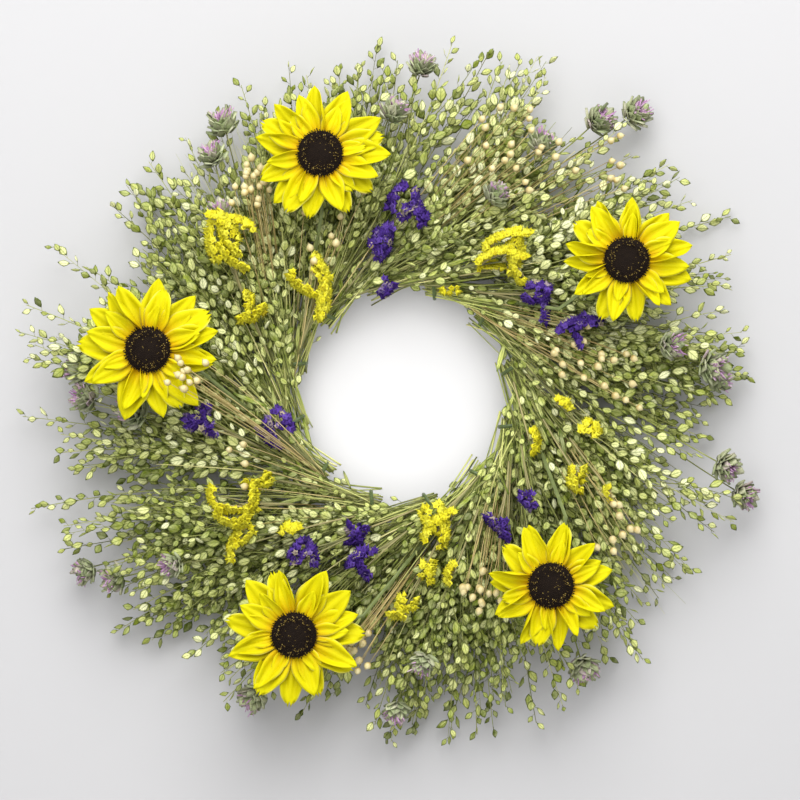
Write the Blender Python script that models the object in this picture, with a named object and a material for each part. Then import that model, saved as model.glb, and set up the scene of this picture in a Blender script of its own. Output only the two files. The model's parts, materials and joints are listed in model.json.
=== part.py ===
"""A harvest door wreath, as the solids that carry it.

Twelve tied bunches of dried seed-pod sprays sit in twelve wire clamps on the front of one
wire ring.  Each bunch leans outwards and clockwise over the stems of the next.  Statice
sprigs are tucked in between, and five artificial sunflowers stand proud of the foliage on
wired stems that run in the gaps between bunches.  A wire loop in a welded barrel at the top
hangs the wreath on a nail.

Metres, +Z up, the front faces -Y.  The origin is on the wall, at the top of the nail that
the loop hangs over.  The wall is the plane y = 0.  Run from Blender's text editor, or with
blender --background --python part.py
"""

import math

import bmesh
import bpy
from mathutils import Matrix, Vector

# ---------------------------------------------------------------- driving dimensions

GAP = 0.0003              # between pieces that touch
CLEAR = 0.0015            # between pieces that only pass each other

RING_RADIUS = 0.083       # ring centre to the middle of its wire
RING_WIRE = 0.005         # ring wire, across the flats

HANGER_WIRE = 0.0024      # diameter of the hanging loop's wire
HANGER_RISE = 0.036       # barrel axis to the middle of the loop's top
HANGER_HALF_WIDTH = 0.010
HANGER_CORNER = 0.004     # bend radius at the loop's two lower corners
HANGER_LEAN = math.radians(3.0)   # the loop rests leaning towards the foliage
BARREL_LENGTH = 0.009
BARREL_OUTSIDE = 0.0064

BUNCHES = 12
LAY = math.radians(70.0)  # a bunch's direction, off the ring's radius, clockwise
WAIST_WIDTH = 0.020       # a tied bunch where its clamp grips it
WAIST_DEPTH = 0.022
TAIL = 0.012              # cut stem ends behind the clamp
FOLIAGE_DEPTH = 0.062     # wall to the front of the sprays
SPRAY_BACK = 0.006        # wall to the back of the sprays at their tips
TIP_FRONT = 0.036         # wall to the front of the sprays at their tips
TIP_WIDTH = 0.034         # width of the blunt end of a bunch
BELLY = 0.48              # where a bunch is thickest, as a share of its length
TAIL_THINNING = 0.15      # how much thinner the cut ends are, as a share of the waist
FAN_SHARES = (0.36, 0.54, 0.70, 0.83, 0.93, 1.0)   # sections of a bunch past its neighbour's clamp
FAN_MARGIN = 0.0018       # either side of the line between two bunches
REACHES = (0.257, 0.252, 0.250, 0.248, 0.246, 0.252, 0.243, 0.262, 0.274, 0.248, 0.240, 0.248)

CLAMP_WIRE = 0.0026
CLAMP_CORNER = 0.006      # bend radius of a closed clamp, to the middle of its wire
CLAMP_MOUTH = 0.003       # between the two tips of a closed clamp

NECK_DEPTH = 0.073        # wall to the wired neck under a sunflower
STEM_WIRE = 0.0024
STEM_RUN_DEPTH = FOLIAGE_DEPTH + CLEAR + STEM_WIRE / 2
STEM_RUN = 0.040          # from the neck along the front of the sprays
STEM_DIVE = 0.012         # from there to where the stem goes in between two bunches
STEM_BEND_SHARE = 0.16    # first bend below the neck, as a share of the way to the run's end
STEM_SETTLE_SHARE = 0.45  # where the stem has come down onto the sprays, as the same share
STEM_BEND_PROUD = 0.15    # how far in front of the run the first bend is, as a share of the neck's rise
PETALS = 12
PETAL_TIP = 0.048         # radius of the front whorl
BACK_PETAL_TIP = 0.0465   # radius of the back whorl
PETAL_VALLEY = 0.030      # radius of the notch between two petals
PETAL_SHEET = 0.0012      # a petal layer as a plain solid
PETAL_CUP = 0.004         # rise of the petal tips over the hub
PIN_RADIUS = 0.0026       # pin on the back of the disc, through both whorls
DISC_RADIUS = 0.016
DISC_DOME = 0.0068
DOME_LEVELS = ((1.0, 0.35), (0.80, 0.82), (0.35, 1.0))   # share of the disc's radius, of its dome
CALYX_LENGTH = 0.010
CALYX_BACK_RADIUS = 0.006
CALYX_FRONT_RADIUS = 0.015
CALYX_SWELL = (0.92, 0.35)   # widest part of the cup: share of the front radius, of the length behind it
SOCKET_RADIUS = 0.0036    # hollow in the back of the calyx that the neck turns in
SOCKET_DEPTH = 0.0045

# radius from the ring's centre, angle, and which gap between bunches the stem runs in
SUNFLOWERS = (
    ("top_left", 0.1775, 108.9, 2),
    ("right", 0.1815, 31.1, -1),
    ("lower_right", 0.1676, -52.1, -3),
    ("lower_left", 0.1830, -114.4, -5),
    ("left", 0.1800, 169.9, 4),
)

# name, radius, angle, half length, half width
YELLOW_SPRIGS = (
    ("upper_left", 0.165, 140.0, 0.026, 0.014),
    ("inner_left", 0.094, 130.0, 0.023, 0.014),
    ("upper_right", 0.125, 51.0, 0.027, 0.014),
    ("bottom", 0.094, -75.0, 0.019, 0.015),
    ("lower_left", 0.143, 212.0, 0.022, 0.016),
)
PURPLE_SPRIGS = (
    ("top", 0.108, 96.0, 0.019, 0.014),
    ("right", 0.130, 19.5, 0.018, 0.014),
    ("left", 0.093, 195.0, 0.016, 0.016),
)
SPRIG_THICKNESS = 0.014
SPRIG_LAY = math.radians(45.0)    # a sprig's direction, off the ring's radius, clockwise
SPRIG_LEVELS = ((0.55, 0.0), (1.0, 0.25), (0.92, 0.6), (0.6, 0.9), (0.2, 1.0))   # share of size, of rise
SPRIG_SIDES = 10

RING_STEPS = 60
RING_SIDES = 8
CLAMP_SIDES = 6
STEM_SIDES = 6
BUNCH_SIDES = 10
BUNCH_SQUARENESS = 0.72   # 1 is an ellipse, towards 0 is a box
TURNED_STEPS = 16         # sides of the barrel, calyxes and discs

# ---------------------------------------------------------------- worked out from them

HALF_PITCH = math.pi / BUNCHES
LEVER = RING_RADIUS * math.cos(LAY)      # along a bunch, from the centre's foot to the clamp
OFFSET = RING_RADIUS * math.sin(LAY)     # ring centre to a bunch's middle line

CLAMP_BASE = RING_WIRE + GAP + CLAMP_WIRE / 2
BED = RING_WIRE + GAP + CLAMP_WIRE + GAP
WAIST_FRONT = BED + WAIST_DEPTH
CLAMP_FRONT = WAIST_FRONT + GAP + CLAMP_WIRE / 2
CLAMP_HALF = WAIST_WIDTH / 2 + GAP + CLAMP_WIRE / 2

# the next clamp round the ring, along and inwards of a bunch's middle line
NEXT_ALONG = RING_RADIUS * math.cos(LAY - 2 * HALF_PITCH) - LEVER
NEXT_INWARD = OFFSET - RING_RADIUS * math.sin(LAY - 2 * HALF_PITCH)
BESIDE_CLAMP = (
    NEXT_INWARD
    - (CLAMP_HALF + CLAMP_WIRE / 2) * math.cos(2 * HALF_PITCH)
    - CLAMP_WIRE / 2 * math.sin(2 * HALF_PITCH)
    - CLEAR
)
TAIL_HALF = min(
    WAIST_WIDTH / 2,
    (NEXT_INWARD - BESIDE_CLAMP - TAIL * math.sin(2 * HALF_PITCH) - CLEAR) / math.cos(2 * HALF_PITCH),
)

# where a stem in a gap must stop: just past the corner of the clamp beside the gap
STEM_END = (
    RING_RADIUS * math.cos(LAY - HALF_PITCH)
    - LEVER
    + (CLAMP_HALF + CLAMP_WIRE / 2) * math.sin(HALF_PITCH)
    + CLAMP_WIRE / 2 * math.cos(HALF_PITCH)
    + STEM_WIRE
)

PIN_HOLE = PIN_RADIUS + GAP * 2
CALYX_BACK = NECK_DEPTH - GAP * 3
PETAL_SLOPE = PETAL_CUP / (PETAL_TIP - PIN_HOLE)

AXIS_DEPTH = BARREL_OUTSIDE / 2
AXIS_HEIGHT = HANGER_WIRE / 2 - HANGER_RISE * math.cos(HANGER_LEAN)
RING_HEIGHT = AXIS_HEIGHT - BARREL_OUTSIDE / 2 - GAP - RING_WIRE / 2 - RING_RADIUS

SAGE = (0.25, 0.33, 0.10)
STEEL = (0.06, 0.10, 0.06)
LEMON = (0.95, 0.72, 0.02)
STATICE_YELLOW = (0.85, 0.70, 0.05)
STATICE_PURPLE = (0.10, 0.04, 0.36)
SEED_BROWN = (0.022, 0.012, 0.008)
CALYX_GREEN = (0.12, 0.24, 0.05)


def clear_scene():
    for thing in list(bpy.data.objects):
        bpy.data.objects.remove(thing, do_unlink=True)


def finish(name, colour, roughness, metallic=0.0):
    """A plain material for one piece."""
    mat = bpy.data.materials.new(name)
    mat.use_nodes = True
    shader = mat.node_tree.nodes["Principled BSDF"]
    shader.inputs["Base Color"].default_value = (*colour, 1.0)
    shader.inputs["Roughness"].default_value = roughness
    shader.inputs["Metallic"].default_value = metallic
    return mat


def add_piece(name, shape, mat, parent=None):
    """Turn a bmesh in world places into a named object, its origin on its parent if it has one."""
    bmesh.ops.recalc_face_normals(shape, faces=shape.faces)
    if parent is not None:
        bmesh.ops.translate(shape, verts=shape.verts, vec=-Vector(parent.location))
    mesh = bpy.data.meshes.new(name)
    shape.to_mesh(mesh)
    shape.free()
    mesh.shade_smooth()
    mesh.set_sharp_from_angle(angle=math.radians(40.0))
    mesh.materials.append(mat)
    piece = bpy.data.objects.new(name, mesh)
    piece.parent = parent
    bpy.context.scene.collection.objects.link(piece)
    return piece


def pivot(name, place):
    """An empty on a joint's axis."""
    empty = bpy.data.objects.new(name, None)
    empty.location = place
    empty.empty_display_size = 0.01
    bpy.context.scene.collection.objects.link(empty)
    return empty


# ---------------------------------------------------------------- shapes


def skin(loops, closed=False):
    """A closed solid through rings of points, capped at both ends unless it closes on itself."""
    shape = bmesh.new()
    rings = [[shape.verts.new(point) for point in loop] for loop in loops]
    count = len(rings)
    around = len(rings[0])
    for i in range(count if closed else count - 1):
        here = rings[i]
        there = rings[(i + 1) % count]
        for j in range(around):
            k = (j + 1) % around
            shape.faces.new((here[j], here[k], there[k], there[j]))
    if not closed:
        shape.faces.new(rings[0][::-1])
        shape.faces.new(rings[-1])
    return shape


def wire(points, thickness, sides, normal, closed=False):
    """A wire along points: its first side is square to normal, and it doesn't twist."""
    count = len(points)
    radius = thickness / 2 / math.cos(math.pi / sides)
    up = Vector(normal).normalized()
    loops = []
    for i, point in enumerate(points):
        before = points[i - 1] if closed or i else points[0]
        after = points[(i + 1) % count] if closed or i < count - 1 else points[-1]
        along = (after - before).normalized()
        up = (up - along * up.dot(along)).normalized()
        across = along.cross(up)
        loop = []
        for j in range(sides):
            angle = 2 * math.pi * (j + 0.5) / sides
            loop.append(point + radius * (math.cos(angle) * up + math.sin(angle) * across))
        loops.append(loop)
    return skin(loops, closed)


def turned(profile, steps, centre):
    """A solid turned about the front-to-back line through centre; profile is (radius, depth)."""
    loops = []
    for radius, depth in profile:
        loop = []
        for j in range(steps):
            angle = 2 * math.pi * j / steps
            loop.append(
                Vector((centre.x + radius * math.cos(angle), -depth, centre.z + radius * math.sin(angle)))
            )
        loops.append(loop)
    return skin(loops)


def arc(centre, radius, start, end, steps):
    """Points (u, v) along an arc, angles in degrees."""
    points = []
    for i in range(steps + 1):
        angle = math.radians(start + (end - start) * i / steps)
        points.append((centre[0] + radius * math.cos(angle), centre[1] + radius * math.sin(angle)))
    return points


def on_ring(radius, degrees, depth):
    """A place by its distance and angle from the ring's centre and its depth from the wall."""
    angle = math.radians(degrees)
    return Vector((radius * math.cos(angle), -depth, RING_HEIGHT + radius * math.sin(angle)))


def beside_bunch(turn, along, outward, depth):
    """A place by its distance along and outside the middle line of a bunch clamped at turn."""
    lay = turn - LAY
    ahead = Vector((math.cos(lay), 0.0, math.sin(lay)))
    out = Vector((-math.sin(lay), 0.0, math.cos(lay)))
    return (
        Vector((0.0, -depth, RING_HEIGHT))
        + ahead * (LEVER + along)
        + out * (OFFSET + outward)
    )


def bunch_turn(index):
    """Angle of a bunch's clamp on the ring, going clockwise from just left of the top."""
    return math.radians(90.0) + HALF_PITCH * (1 - 2 * index)


def gap_turn(index):
    """Angle of the line between two bunches, counted anticlockwise from the top."""
    return math.radians(90.0) + 2 * HALF_PITCH * index


# ---------------------------------------------------------------- bunches


def fan_side(along, side):
    """How far a bunch may spread to one side before the line between it and its neighbour."""
    ahead = LEVER + along
    line = (OFFSET + side * ahead * math.sin(HALF_PITCH)) / math.cos(HALF_PITCH) - OFFSET
    return side * line - FAN_MARGIN


def fan_end(reach):
    """Where along a bunch its blunt end lies, for tips on a circle of radius reach."""
    low = 0.0
    high = reach - LEVER
    for _ in range(40):
        middle = (low + high) / 2
        rim = math.sqrt(reach**2 - (LEVER + middle) ** 2) - OFFSET
        wide = min(rim, fan_side(middle, 1)) + fan_side(middle, -1)
        if wide > TIP_WIDTH:
            low = middle
        else:
            high = middle
    return low


def fan_stations(reach):
    """Distances along a bunch, each with its inner and outer side, back and front depth."""
    end = fan_end(reach)
    belly = BELLY * end
    waist = WAIST_WIDTH / 2
    sides = [
        (-TAIL, -TAIL_HALF, TAIL_HALF),
        (-CLAMP_WIRE, -waist, waist),
        (2 * CLAMP_WIRE, -waist, waist),
        (NEXT_ALONG - CLAMP_HALF, -min(waist, BESIDE_CLAMP), min(waist, fan_side(CLAMP_HALF, 1)) + CLEAR),
        (NEXT_ALONG + CLAMP_HALF / 2, -BESIDE_CLAMP, fan_side(NEXT_ALONG + CLAMP_HALF / 2, 1)),
    ]
    for share in FAN_SHARES:
        along = share * end
        rim = math.sqrt(reach**2 - (LEVER + along) ** 2) - OFFSET
        sides.append((along, -fan_side(along, -1), min(fan_side(along, 1), rim)))
    depths = [
        (BED + GAP, WAIST_FRONT - TAIL_THINNING * WAIST_DEPTH),
        (BED, WAIST_FRONT),
        (BED, WAIST_FRONT + GAP),
    ]
    for along, _, _ in sides[3:]:
        rise = along / belly
        fall = max(0.0, along - belly) / (end - belly)
        if fall == 0.0:
            front = WAIST_FRONT + (FOLIAGE_DEPTH - WAIST_FRONT) * rise
        else:
            front = FOLIAGE_DEPTH + (TIP_FRONT - FOLIAGE_DEPTH) * fall**2
        depths.append((BED + (SPRAY_BACK - BED) * fall, front))
    return [(*side, *depth) for side, depth in zip(sides, depths)]


def bunch_shape(turn, reach):
    """One tied bunch as a plain fan: rounded squarish sections through its stations."""
    loops = []
    for along, inner, outer, back, front in fan_stations(reach):
        loop = []
        for j in range(BUNCH_SIDES):
            angle = 2 * math.pi * (j + 0.5) / BUNCH_SIDES
            across = math.copysign(abs(math.cos(angle)) ** BUNCH_SQUARENESS, math.cos(angle))
            deep = math.copysign(abs(math.sin(angle)) ** BUNCH_SQUARENESS, math.sin(angle))
            outward = (outer + inner) / 2 + (outer - inner) / 2 * across
            depth = (front + back) / 2 + (front - back) / 2 * deep
            loop.append(beside_bunch(turn, along, outward, depth))
        loops.append(loop)
    return skin(loops)


def foliage_front(place):
    """Depth of the front of whatever bunch lies behind a place."""
    deepest = WAIST_FRONT
    for index in range(BUNCHES):
        turn = bunch_turn(index)
        lay = turn - LAY
        x = place.x
        z = place.z - RING_HEIGHT
        along = x * math.cos(lay) + z * math.sin(lay) - LEVER
        outward = z * math.cos(lay) - x * math.sin(lay) - OFFSET
        stations = fan_stations(REACHES[index])
        for first, second in zip(stations, stations[1:]):
            inside = min(first[1], second[1]) - CLEAR <= outward <= max(first[2], second[2]) + CLEAR
            if inside and first[0] <= along <= second[0]:
                share = (along - first[0]) / (second[0] - first[0])
                deepest = max(deepest, first[4] + (second[4] - first[4]) * share)
    return deepest


# ---------------------------------------------------------------- ring, clamps and hanger


def add_ring():
    points = [on_ring(RING_RADIUS, 360.0 * i / RING_STEPS, RING_WIRE / 2) for i in range(RING_STEPS)]
    shape = wire(points, RING_WIRE, RING_SIDES, (0.0, 1.0, 0.0), closed=True)
    add_piece("ring_wire", shape, finish("ring_wire", STEEL, 0.45, 0.8))


def clamp_outline():
    """Half of a closed clamp and then its mirror, as (outward, depth) of the wire's middle."""
    half = []
    half.append((CLAMP_MOUTH / 2 + CLAMP_WIRE / 2, CLAMP_FRONT))
    half += arc((CLAMP_HALF - CLAMP_CORNER, CLAMP_FRONT - CLAMP_CORNER), CLAMP_CORNER, 90.0, 0.0, 3)
    half += arc((CLAMP_HALF - CLAMP_CORNER, CLAMP_BASE + CLAMP_CORNER), CLAMP_CORNER, 0.0, -90.0, 3)
    return half + [(-outward, depth) for outward, depth in reversed(half)]


def add_clamp(index):
    turn = bunch_turn(index)
    points = [beside_bunch(turn, 0.0, outward, depth) for outward, depth in clamp_outline()]
    lay = turn - LAY
    shape = wire(points, CLAMP_WIRE, CLAMP_SIDES, (math.cos(lay), 0.0, math.sin(lay)))
    add_piece(f"clamp_{index + 1}", shape, finish(f"clamp_{index + 1}", STEEL, 0.45, 0.8))


def add_bunch(index):
    shape = bunch_shape(bunch_turn(index), REACHES[index])
    add_piece(f"bunch_{index + 1}", shape, finish(f"bunch_{index + 1}", SAGE, 0.85))


def add_barrel():
    """The short tube on top of the ring that the hanging loop swings in."""
    bore = HANGER_WIRE / 2 + GAP
    outside = BARREL_OUTSIDE / 2
    half = BARREL_LENGTH / 2
    loops = []
    for radius, side in ((bore, -half), (outside, -half), (outside, half), (bore, half)):
        loop = []
        for j in range(TURNED_STEPS):
            angle = 2 * math.pi * (j + 0.5) / TURNED_STEPS
            reach = radius / math.cos(math.pi / TURNED_STEPS) if radius == bore else radius
            loop.append(
                Vector((side, -AXIS_DEPTH + reach * math.cos(angle), AXIS_HEIGHT + reach * math.sin(angle)))
            )
        loops.append(loop)
    add_piece("hanger_barrel", skin(loops, closed=True), finish("hanger_barrel", STEEL, 0.45, 0.8))


def add_hanger():
    """A closed wire loop through the barrel: straight below, round above."""
    low = HANGER_HALF_WIDTH - HANGER_CORNER
    top = HANGER_RISE - HANGER_HALF_WIDTH
    outline = arc((low, HANGER_CORNER), HANGER_CORNER, -90.0, 0.0, 4)
    outline += arc((0.0, top), HANGER_HALF_WIDTH, 0.0, 180.0, 10)
    outline += arc((-low, HANGER_CORNER), HANGER_CORNER, 180.0, 270.0, 4)
    axis = pivot("hanger_axis", (0.0, -AXIS_DEPTH, AXIS_HEIGHT))
    lean = Matrix.Rotation(HANGER_LEAN, 4, "X")
    points = [Vector(axis.location) + lean @ Vector((u, 0.0, v)) for u, v in outline]
    shape = wire(points, HANGER_WIRE, RING_SIDES, lean @ Vector((0.0, 1.0, 0.0)), closed=True)
    add_piece("hanger_loop", shape, finish("hanger_loop", STEEL, 0.45, 0.8), axis)


# ---------------------------------------------------------------- sunflowers


def whorl_shape(centre, hub_depth, tip, half_step):
    """One layer of petals: a thin cupped star with a hole for the disc's pin."""
    steps = PETALS * 3
    loops = []
    for inner_side, back in ((True, True), (False, True), (False, False), (True, False)):
        loop = []
        for j in range(steps):
            radius = PIN_HOLE
            if not inner_side:
                radius = PETAL_VALLEY if j % 3 == 0 else tip
            angle = 2 * math.pi * (j / 3 + (0.5 if half_step else 0.0)) / PETALS
            depth = hub_depth + (radius - PIN_HOLE) * PETAL_SLOPE + (0.0 if back else PETAL_SHEET)
            loop.append(
                Vector((centre.x + radius * math.cos(angle), -depth, centre.z + radius * math.sin(angle)))
            )
        loops.append(loop)
    return skin(loops, closed=True)


def calyx_shape(centre):
    """The green cup behind the petals, hollow at the back for the neck and at the front for the pin."""
    front = CALYX_BACK + CALYX_LENGTH
    floor = CALYX_BACK + SOCKET_DEPTH
    pin_floor = floor + PETAL_SHEET
    swell_radius, swell_back = CALYX_SWELL
    profile = (
        (STEM_WIRE / 4, floor),
        (SOCKET_RADIUS, floor),
        (SOCKET_RADIUS, CALYX_BACK),
        (CALYX_BACK_RADIUS, CALYX_BACK),
        (swell_radius * CALYX_FRONT_RADIUS, front - swell_back * CALYX_LENGTH),
        (CALYX_FRONT_RADIUS, front),
        (PIN_HOLE, front),
        (PIN_HOLE, pin_floor),
        (STEM_WIRE / 4, pin_floor),
    )
    return turned(profile, TURNED_STEPS, centre)


def disc_shape(centre, hub_front):
    """The seed disc: a low dome with a pin behind it."""
    rim = hub_front + (DISC_RADIUS - PIN_HOLE) * PETAL_SLOPE + GAP
    pin_end = CALYX_BACK + SOCKET_DEPTH + PETAL_SHEET + GAP
    profile = [(PIN_RADIUS, pin_end), (PIN_RADIUS, hub_front + GAP), (DISC_RADIUS, rim)]
    for size, rise in DOME_LEVELS:
        profile.append((size * DISC_RADIUS, rim + rise * DISC_DOME))
    return turned(profile, TURNED_STEPS, centre)


def stem_points(centre, gap):
    """From the neck straight back, across the front of the sprays, and down between two bunches."""
    turn = gap_turn(gap)
    lay = turn - LAY
    x = centre.x
    z = centre.z - RING_HEIGHT
    along = x * math.cos(lay) + z * math.sin(lay) - LEVER
    route = [
        Vector((centre.x, -NECK_DEPTH - STEM_WIRE, centre.z)),
        Vector((centre.x, -NECK_DEPTH + STEM_WIRE, centre.z)),
        beside_bunch(turn, along - STEM_RUN, 0.0, STEM_RUN_DEPTH),
        beside_bunch(turn, along - STEM_RUN - STEM_DIVE, 0.0, FOLIAGE_DEPTH - STEM_WIRE),
        beside_bunch(turn, STEM_END, 0.0, WAIST_FRONT),
    ]
    bend = route[1].lerp(route[2], STEM_BEND_SHARE)
    bend.y = -STEM_RUN_DEPTH - STEM_BEND_PROUD * (NECK_DEPTH - STEM_RUN_DEPTH)
    settle = route[1].lerp(route[2], STEM_SETTLE_SHARE)
    settle.y = -STEM_RUN_DEPTH
    return route[:2] + [bend, settle] + route[2:]


def add_sunflower(name, radius, degrees, gap):
    centre = on_ring(radius, degrees, NECK_DEPTH)
    neck = pivot(f"{name}_neck", centre)
    hub_back = CALYX_BACK + CALYX_LENGTH + GAP
    hub_front = hub_back + PETAL_SHEET + GAP
    parts = (
        ("calyx", calyx_shape(centre), finish(f"calyx_{name}", CALYX_GREEN, 0.6)),
        (
            "back_petals",
            whorl_shape(centre, hub_back, BACK_PETAL_TIP, True),
            finish(f"back_petals_{name}", LEMON, 0.6),
        ),
        (
            "front_petals",
            whorl_shape(centre, hub_front, PETAL_TIP, False),
            finish(f"front_petals_{name}", LEMON, 0.6),
        ),
        (
            "disc",
            disc_shape(centre, hub_front + PETAL_SHEET),
            finish(f"disc_{name}", SEED_BROWN, 0.9),
        ),
    )
    for part, shape, mat in parts:
        add_piece(f"{part}_{name}", shape, mat, neck)
    shape = wire(stem_points(centre, gap), STEM_WIRE, STEM_SIDES, (1.0, 0.0, 0.0))
    add_piece(f"stem_{name}", shape, finish(f"stem_{name}", CALYX_GREEN, 0.5))


# ---------------------------------------------------------------- statice sprigs


def add_sprig(kind, name, radius, degrees, half_length, half_width, colour):
    """A head of statice as a flattened dome that lies along the bunch behind it."""
    centre = on_ring(radius, degrees, 0.0)
    lay = math.radians(degrees) - SPRIG_LAY
    ahead = Vector((math.cos(lay), 0.0, math.sin(lay)))
    out = Vector((-math.sin(lay), 0.0, math.cos(lay)))
    behind = max(
        foliage_front(centre + ahead * half_length * i / 3 + out * half_width * j / 3)
        for i in range(-3, 4)
        for j in range(-3, 4)
    )
    loops = []
    for size, rise in SPRIG_LEVELS:
        loop = []
        for j in range(SPRIG_SIDES):
            angle = 2 * math.pi * j / SPRIG_SIDES
            place = (
                centre
                + ahead * half_length * size * math.cos(angle)
                + out * half_width * size * math.sin(angle)
            )
            place.y = -(behind + CLEAR + SPRIG_THICKNESS * rise)
            loop.append(place)
        loops.append(loop)
    label = f"{kind}_statice_{name}"
    add_piece(label, skin(loops), finish(label, colour, 0.9))


def build():
    clear_scene()
    add_ring()
    add_barrel()
    add_hanger()
    for index in range(BUNCHES):
        add_clamp(index)
        add_bunch(index)
    for flower in SUNFLOWERS:
        add_sunflower(*flower)
    for sprig in YELLOW_SPRIGS:
        add_sprig("yellow", *sprig, STATICE_YELLOW)
    for sprig in PURPLE_SPRIGS:
        add_sprig("purple", *sprig, STATICE_PURPLE)


build()
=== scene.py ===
# %% [markdown]
# # A harvest door wreath
# The wreath's working parts are already solid models: a wire ring, twelve wire clamps, a hanging
# loop, and plain solids for the twelve dried bunches, the statice sprigs and the five artificial
# sunflowers.  This lesson loads them as a fixed frame and dresses them: thousands of seed pods on
# thin stalks, papery statice, flax bolls, bergamot heads, pressed petals and flocked seed discs.
# Small things that repeat are modelled once and then copied along stems that a few rules
# lay out, because that is how a real wreath maker works too: one kind of sprig, many times.

# %% Load the frame
import json
import math

import bmesh
import bpy
import numpy as np
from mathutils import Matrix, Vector


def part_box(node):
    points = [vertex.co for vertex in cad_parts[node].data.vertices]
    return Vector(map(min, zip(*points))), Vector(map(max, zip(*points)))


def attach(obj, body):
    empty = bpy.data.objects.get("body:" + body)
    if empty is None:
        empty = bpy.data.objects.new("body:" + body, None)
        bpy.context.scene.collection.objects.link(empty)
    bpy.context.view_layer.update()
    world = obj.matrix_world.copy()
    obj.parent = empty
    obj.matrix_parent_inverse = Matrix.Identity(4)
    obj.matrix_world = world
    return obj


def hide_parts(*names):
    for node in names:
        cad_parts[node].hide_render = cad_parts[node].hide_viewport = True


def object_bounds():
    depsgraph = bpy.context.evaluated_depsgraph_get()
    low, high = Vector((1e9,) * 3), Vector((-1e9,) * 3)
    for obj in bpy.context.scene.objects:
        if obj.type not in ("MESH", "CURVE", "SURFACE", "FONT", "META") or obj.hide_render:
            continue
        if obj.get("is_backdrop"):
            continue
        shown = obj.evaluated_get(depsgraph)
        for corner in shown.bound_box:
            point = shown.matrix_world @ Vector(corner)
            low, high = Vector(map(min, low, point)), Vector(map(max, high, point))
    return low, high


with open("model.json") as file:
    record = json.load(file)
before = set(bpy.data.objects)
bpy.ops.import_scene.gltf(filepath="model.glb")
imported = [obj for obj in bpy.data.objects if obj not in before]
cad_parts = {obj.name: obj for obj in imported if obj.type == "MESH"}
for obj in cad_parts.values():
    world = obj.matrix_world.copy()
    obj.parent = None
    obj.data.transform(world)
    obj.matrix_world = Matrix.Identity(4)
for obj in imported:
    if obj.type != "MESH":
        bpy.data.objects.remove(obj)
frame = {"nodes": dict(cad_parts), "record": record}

cad_low, cad_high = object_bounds()
MM = 0.001
print("box in mm", [round(v / MM, 1) for v in (*cad_low, *cad_high)])

# %% [markdown]
# ## Where things are
# Every place comes from the frame.  The ring's box gives its centre and radius, each clamp's box
# gives the angle at which its bunch is tied, and each sunflower's hinge gives its wired neck.

# %% Measure the frame
ring_low, ring_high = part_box("ring_wire")
RING_WIRE = ring_high.y - ring_low.y
RING_RADIUS = (ring_high.x - ring_low.x) / 2 - RING_WIRE / 2
RING_CENTRE = (ring_low + ring_high) / 2
WALL_GAP = 5 * MM               # nothing dried comes nearer the wall than this
BUNCHES = range(1, 13)          # the twelve bunches, by their number in the frame
FOLIAGE_FRONT = max(-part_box(f"bunch_{i}")[0].y for i in BUNCHES)


def clamp_place(index):
    low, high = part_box(f"clamp_{index}")
    return (low + high) / 2


def polar(radius, degrees, depth=0.0):
    """A place by its distance and angle from the ring's centre, and its depth from the wall."""
    angle = math.radians(degrees)
    x = RING_CENTRE.x + radius * math.cos(angle)
    z = RING_CENTRE.z + radius * math.sin(angle)
    return Vector((x, -depth, z))


necks = {}
for joint in frame["record"]["behaviour"]["joints"]:
    if joint["name"].startswith("tilt_"):
        necks[joint["child"].replace("sunflower_", "")] = Vector(joint["pos_m"])
print("ring radius", round(RING_RADIUS / MM, 1), "mm, foliage", round(FOLIAGE_FRONT / MM, 1), "mm deep")
print("sunflowers", sorted(necks))

# %% [markdown]
# ## Camera
# The wreath is seen straight on.  A long lens from a little over three metres keeps the ring round,
# and keeps the flower heads, which stand in front of the rest, from looking too big.

# %% Camera
VIEW_WIDTH = 0.560              # width of the view at the middle of the foliage
CAMERA_AWAY = 3.20
MIDDLE_DEPTH = 0.060
OFF_MIDDLE = Vector((-0.002, 0, -0.0035))       # the wreath hangs a little off the view's middle
camera_data = bpy.data.cameras.new("camera")
camera_data.sensor_width = 36.0
camera_data.lens = camera_data.sensor_width * CAMERA_AWAY / VIEW_WIDTH
camera = bpy.data.objects.new("camera", camera_data)
bpy.context.scene.collection.objects.link(camera)
camera.location = RING_CENTRE + OFF_MIDDLE + Vector((0, -CAMERA_AWAY - MIDDLE_DEPTH, 0))
camera.rotation_euler = (math.radians(90), 0, 0)
bpy.context.scene.camera = camera
print("lens", round(camera_data.lens, 1), "mm")

# %% [markdown]
# ## Light
# The wreath is lit by an even sky, by a broad window above and in front, and by a second broad
# light near the viewer that fills the shadows between the stems.  The bare wall inside the ring
# shows brightest, so a narrow soft spot is laid on it.

# %% Light
bpy.context.scene.view_settings.view_transform = "Standard"
world = bpy.data.worlds.new("daylight")
bpy.context.scene.world = world
world.use_nodes = True
world.node_tree.nodes["Background"].inputs["Color"].default_value = (0.95, 0.97, 1.0, 1.0)
world.node_tree.nodes["Background"].inputs["Strength"].default_value = 0.50


def area_light(name, place, target, size, power):
    data = bpy.data.lights.new(name, "AREA")
    data.shape = "DISK"
    data.size = size
    data.energy = power
    lamp = bpy.data.objects.new(name, data)
    bpy.context.scene.collection.objects.link(lamp)
    lamp.location = place
    lamp.rotation_euler = (Vector(target) - Vector(place)).to_track_quat("-Z", "Y").to_euler()


area_light("window", (0.20, -1.50, 1.45), RING_CENTRE + Vector((0, 0, 0.12)), size=2.0, power=53)
area_light("room", (-0.5, -2.2, 0.5), RING_CENTRE, size=1.6, power=24)

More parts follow.
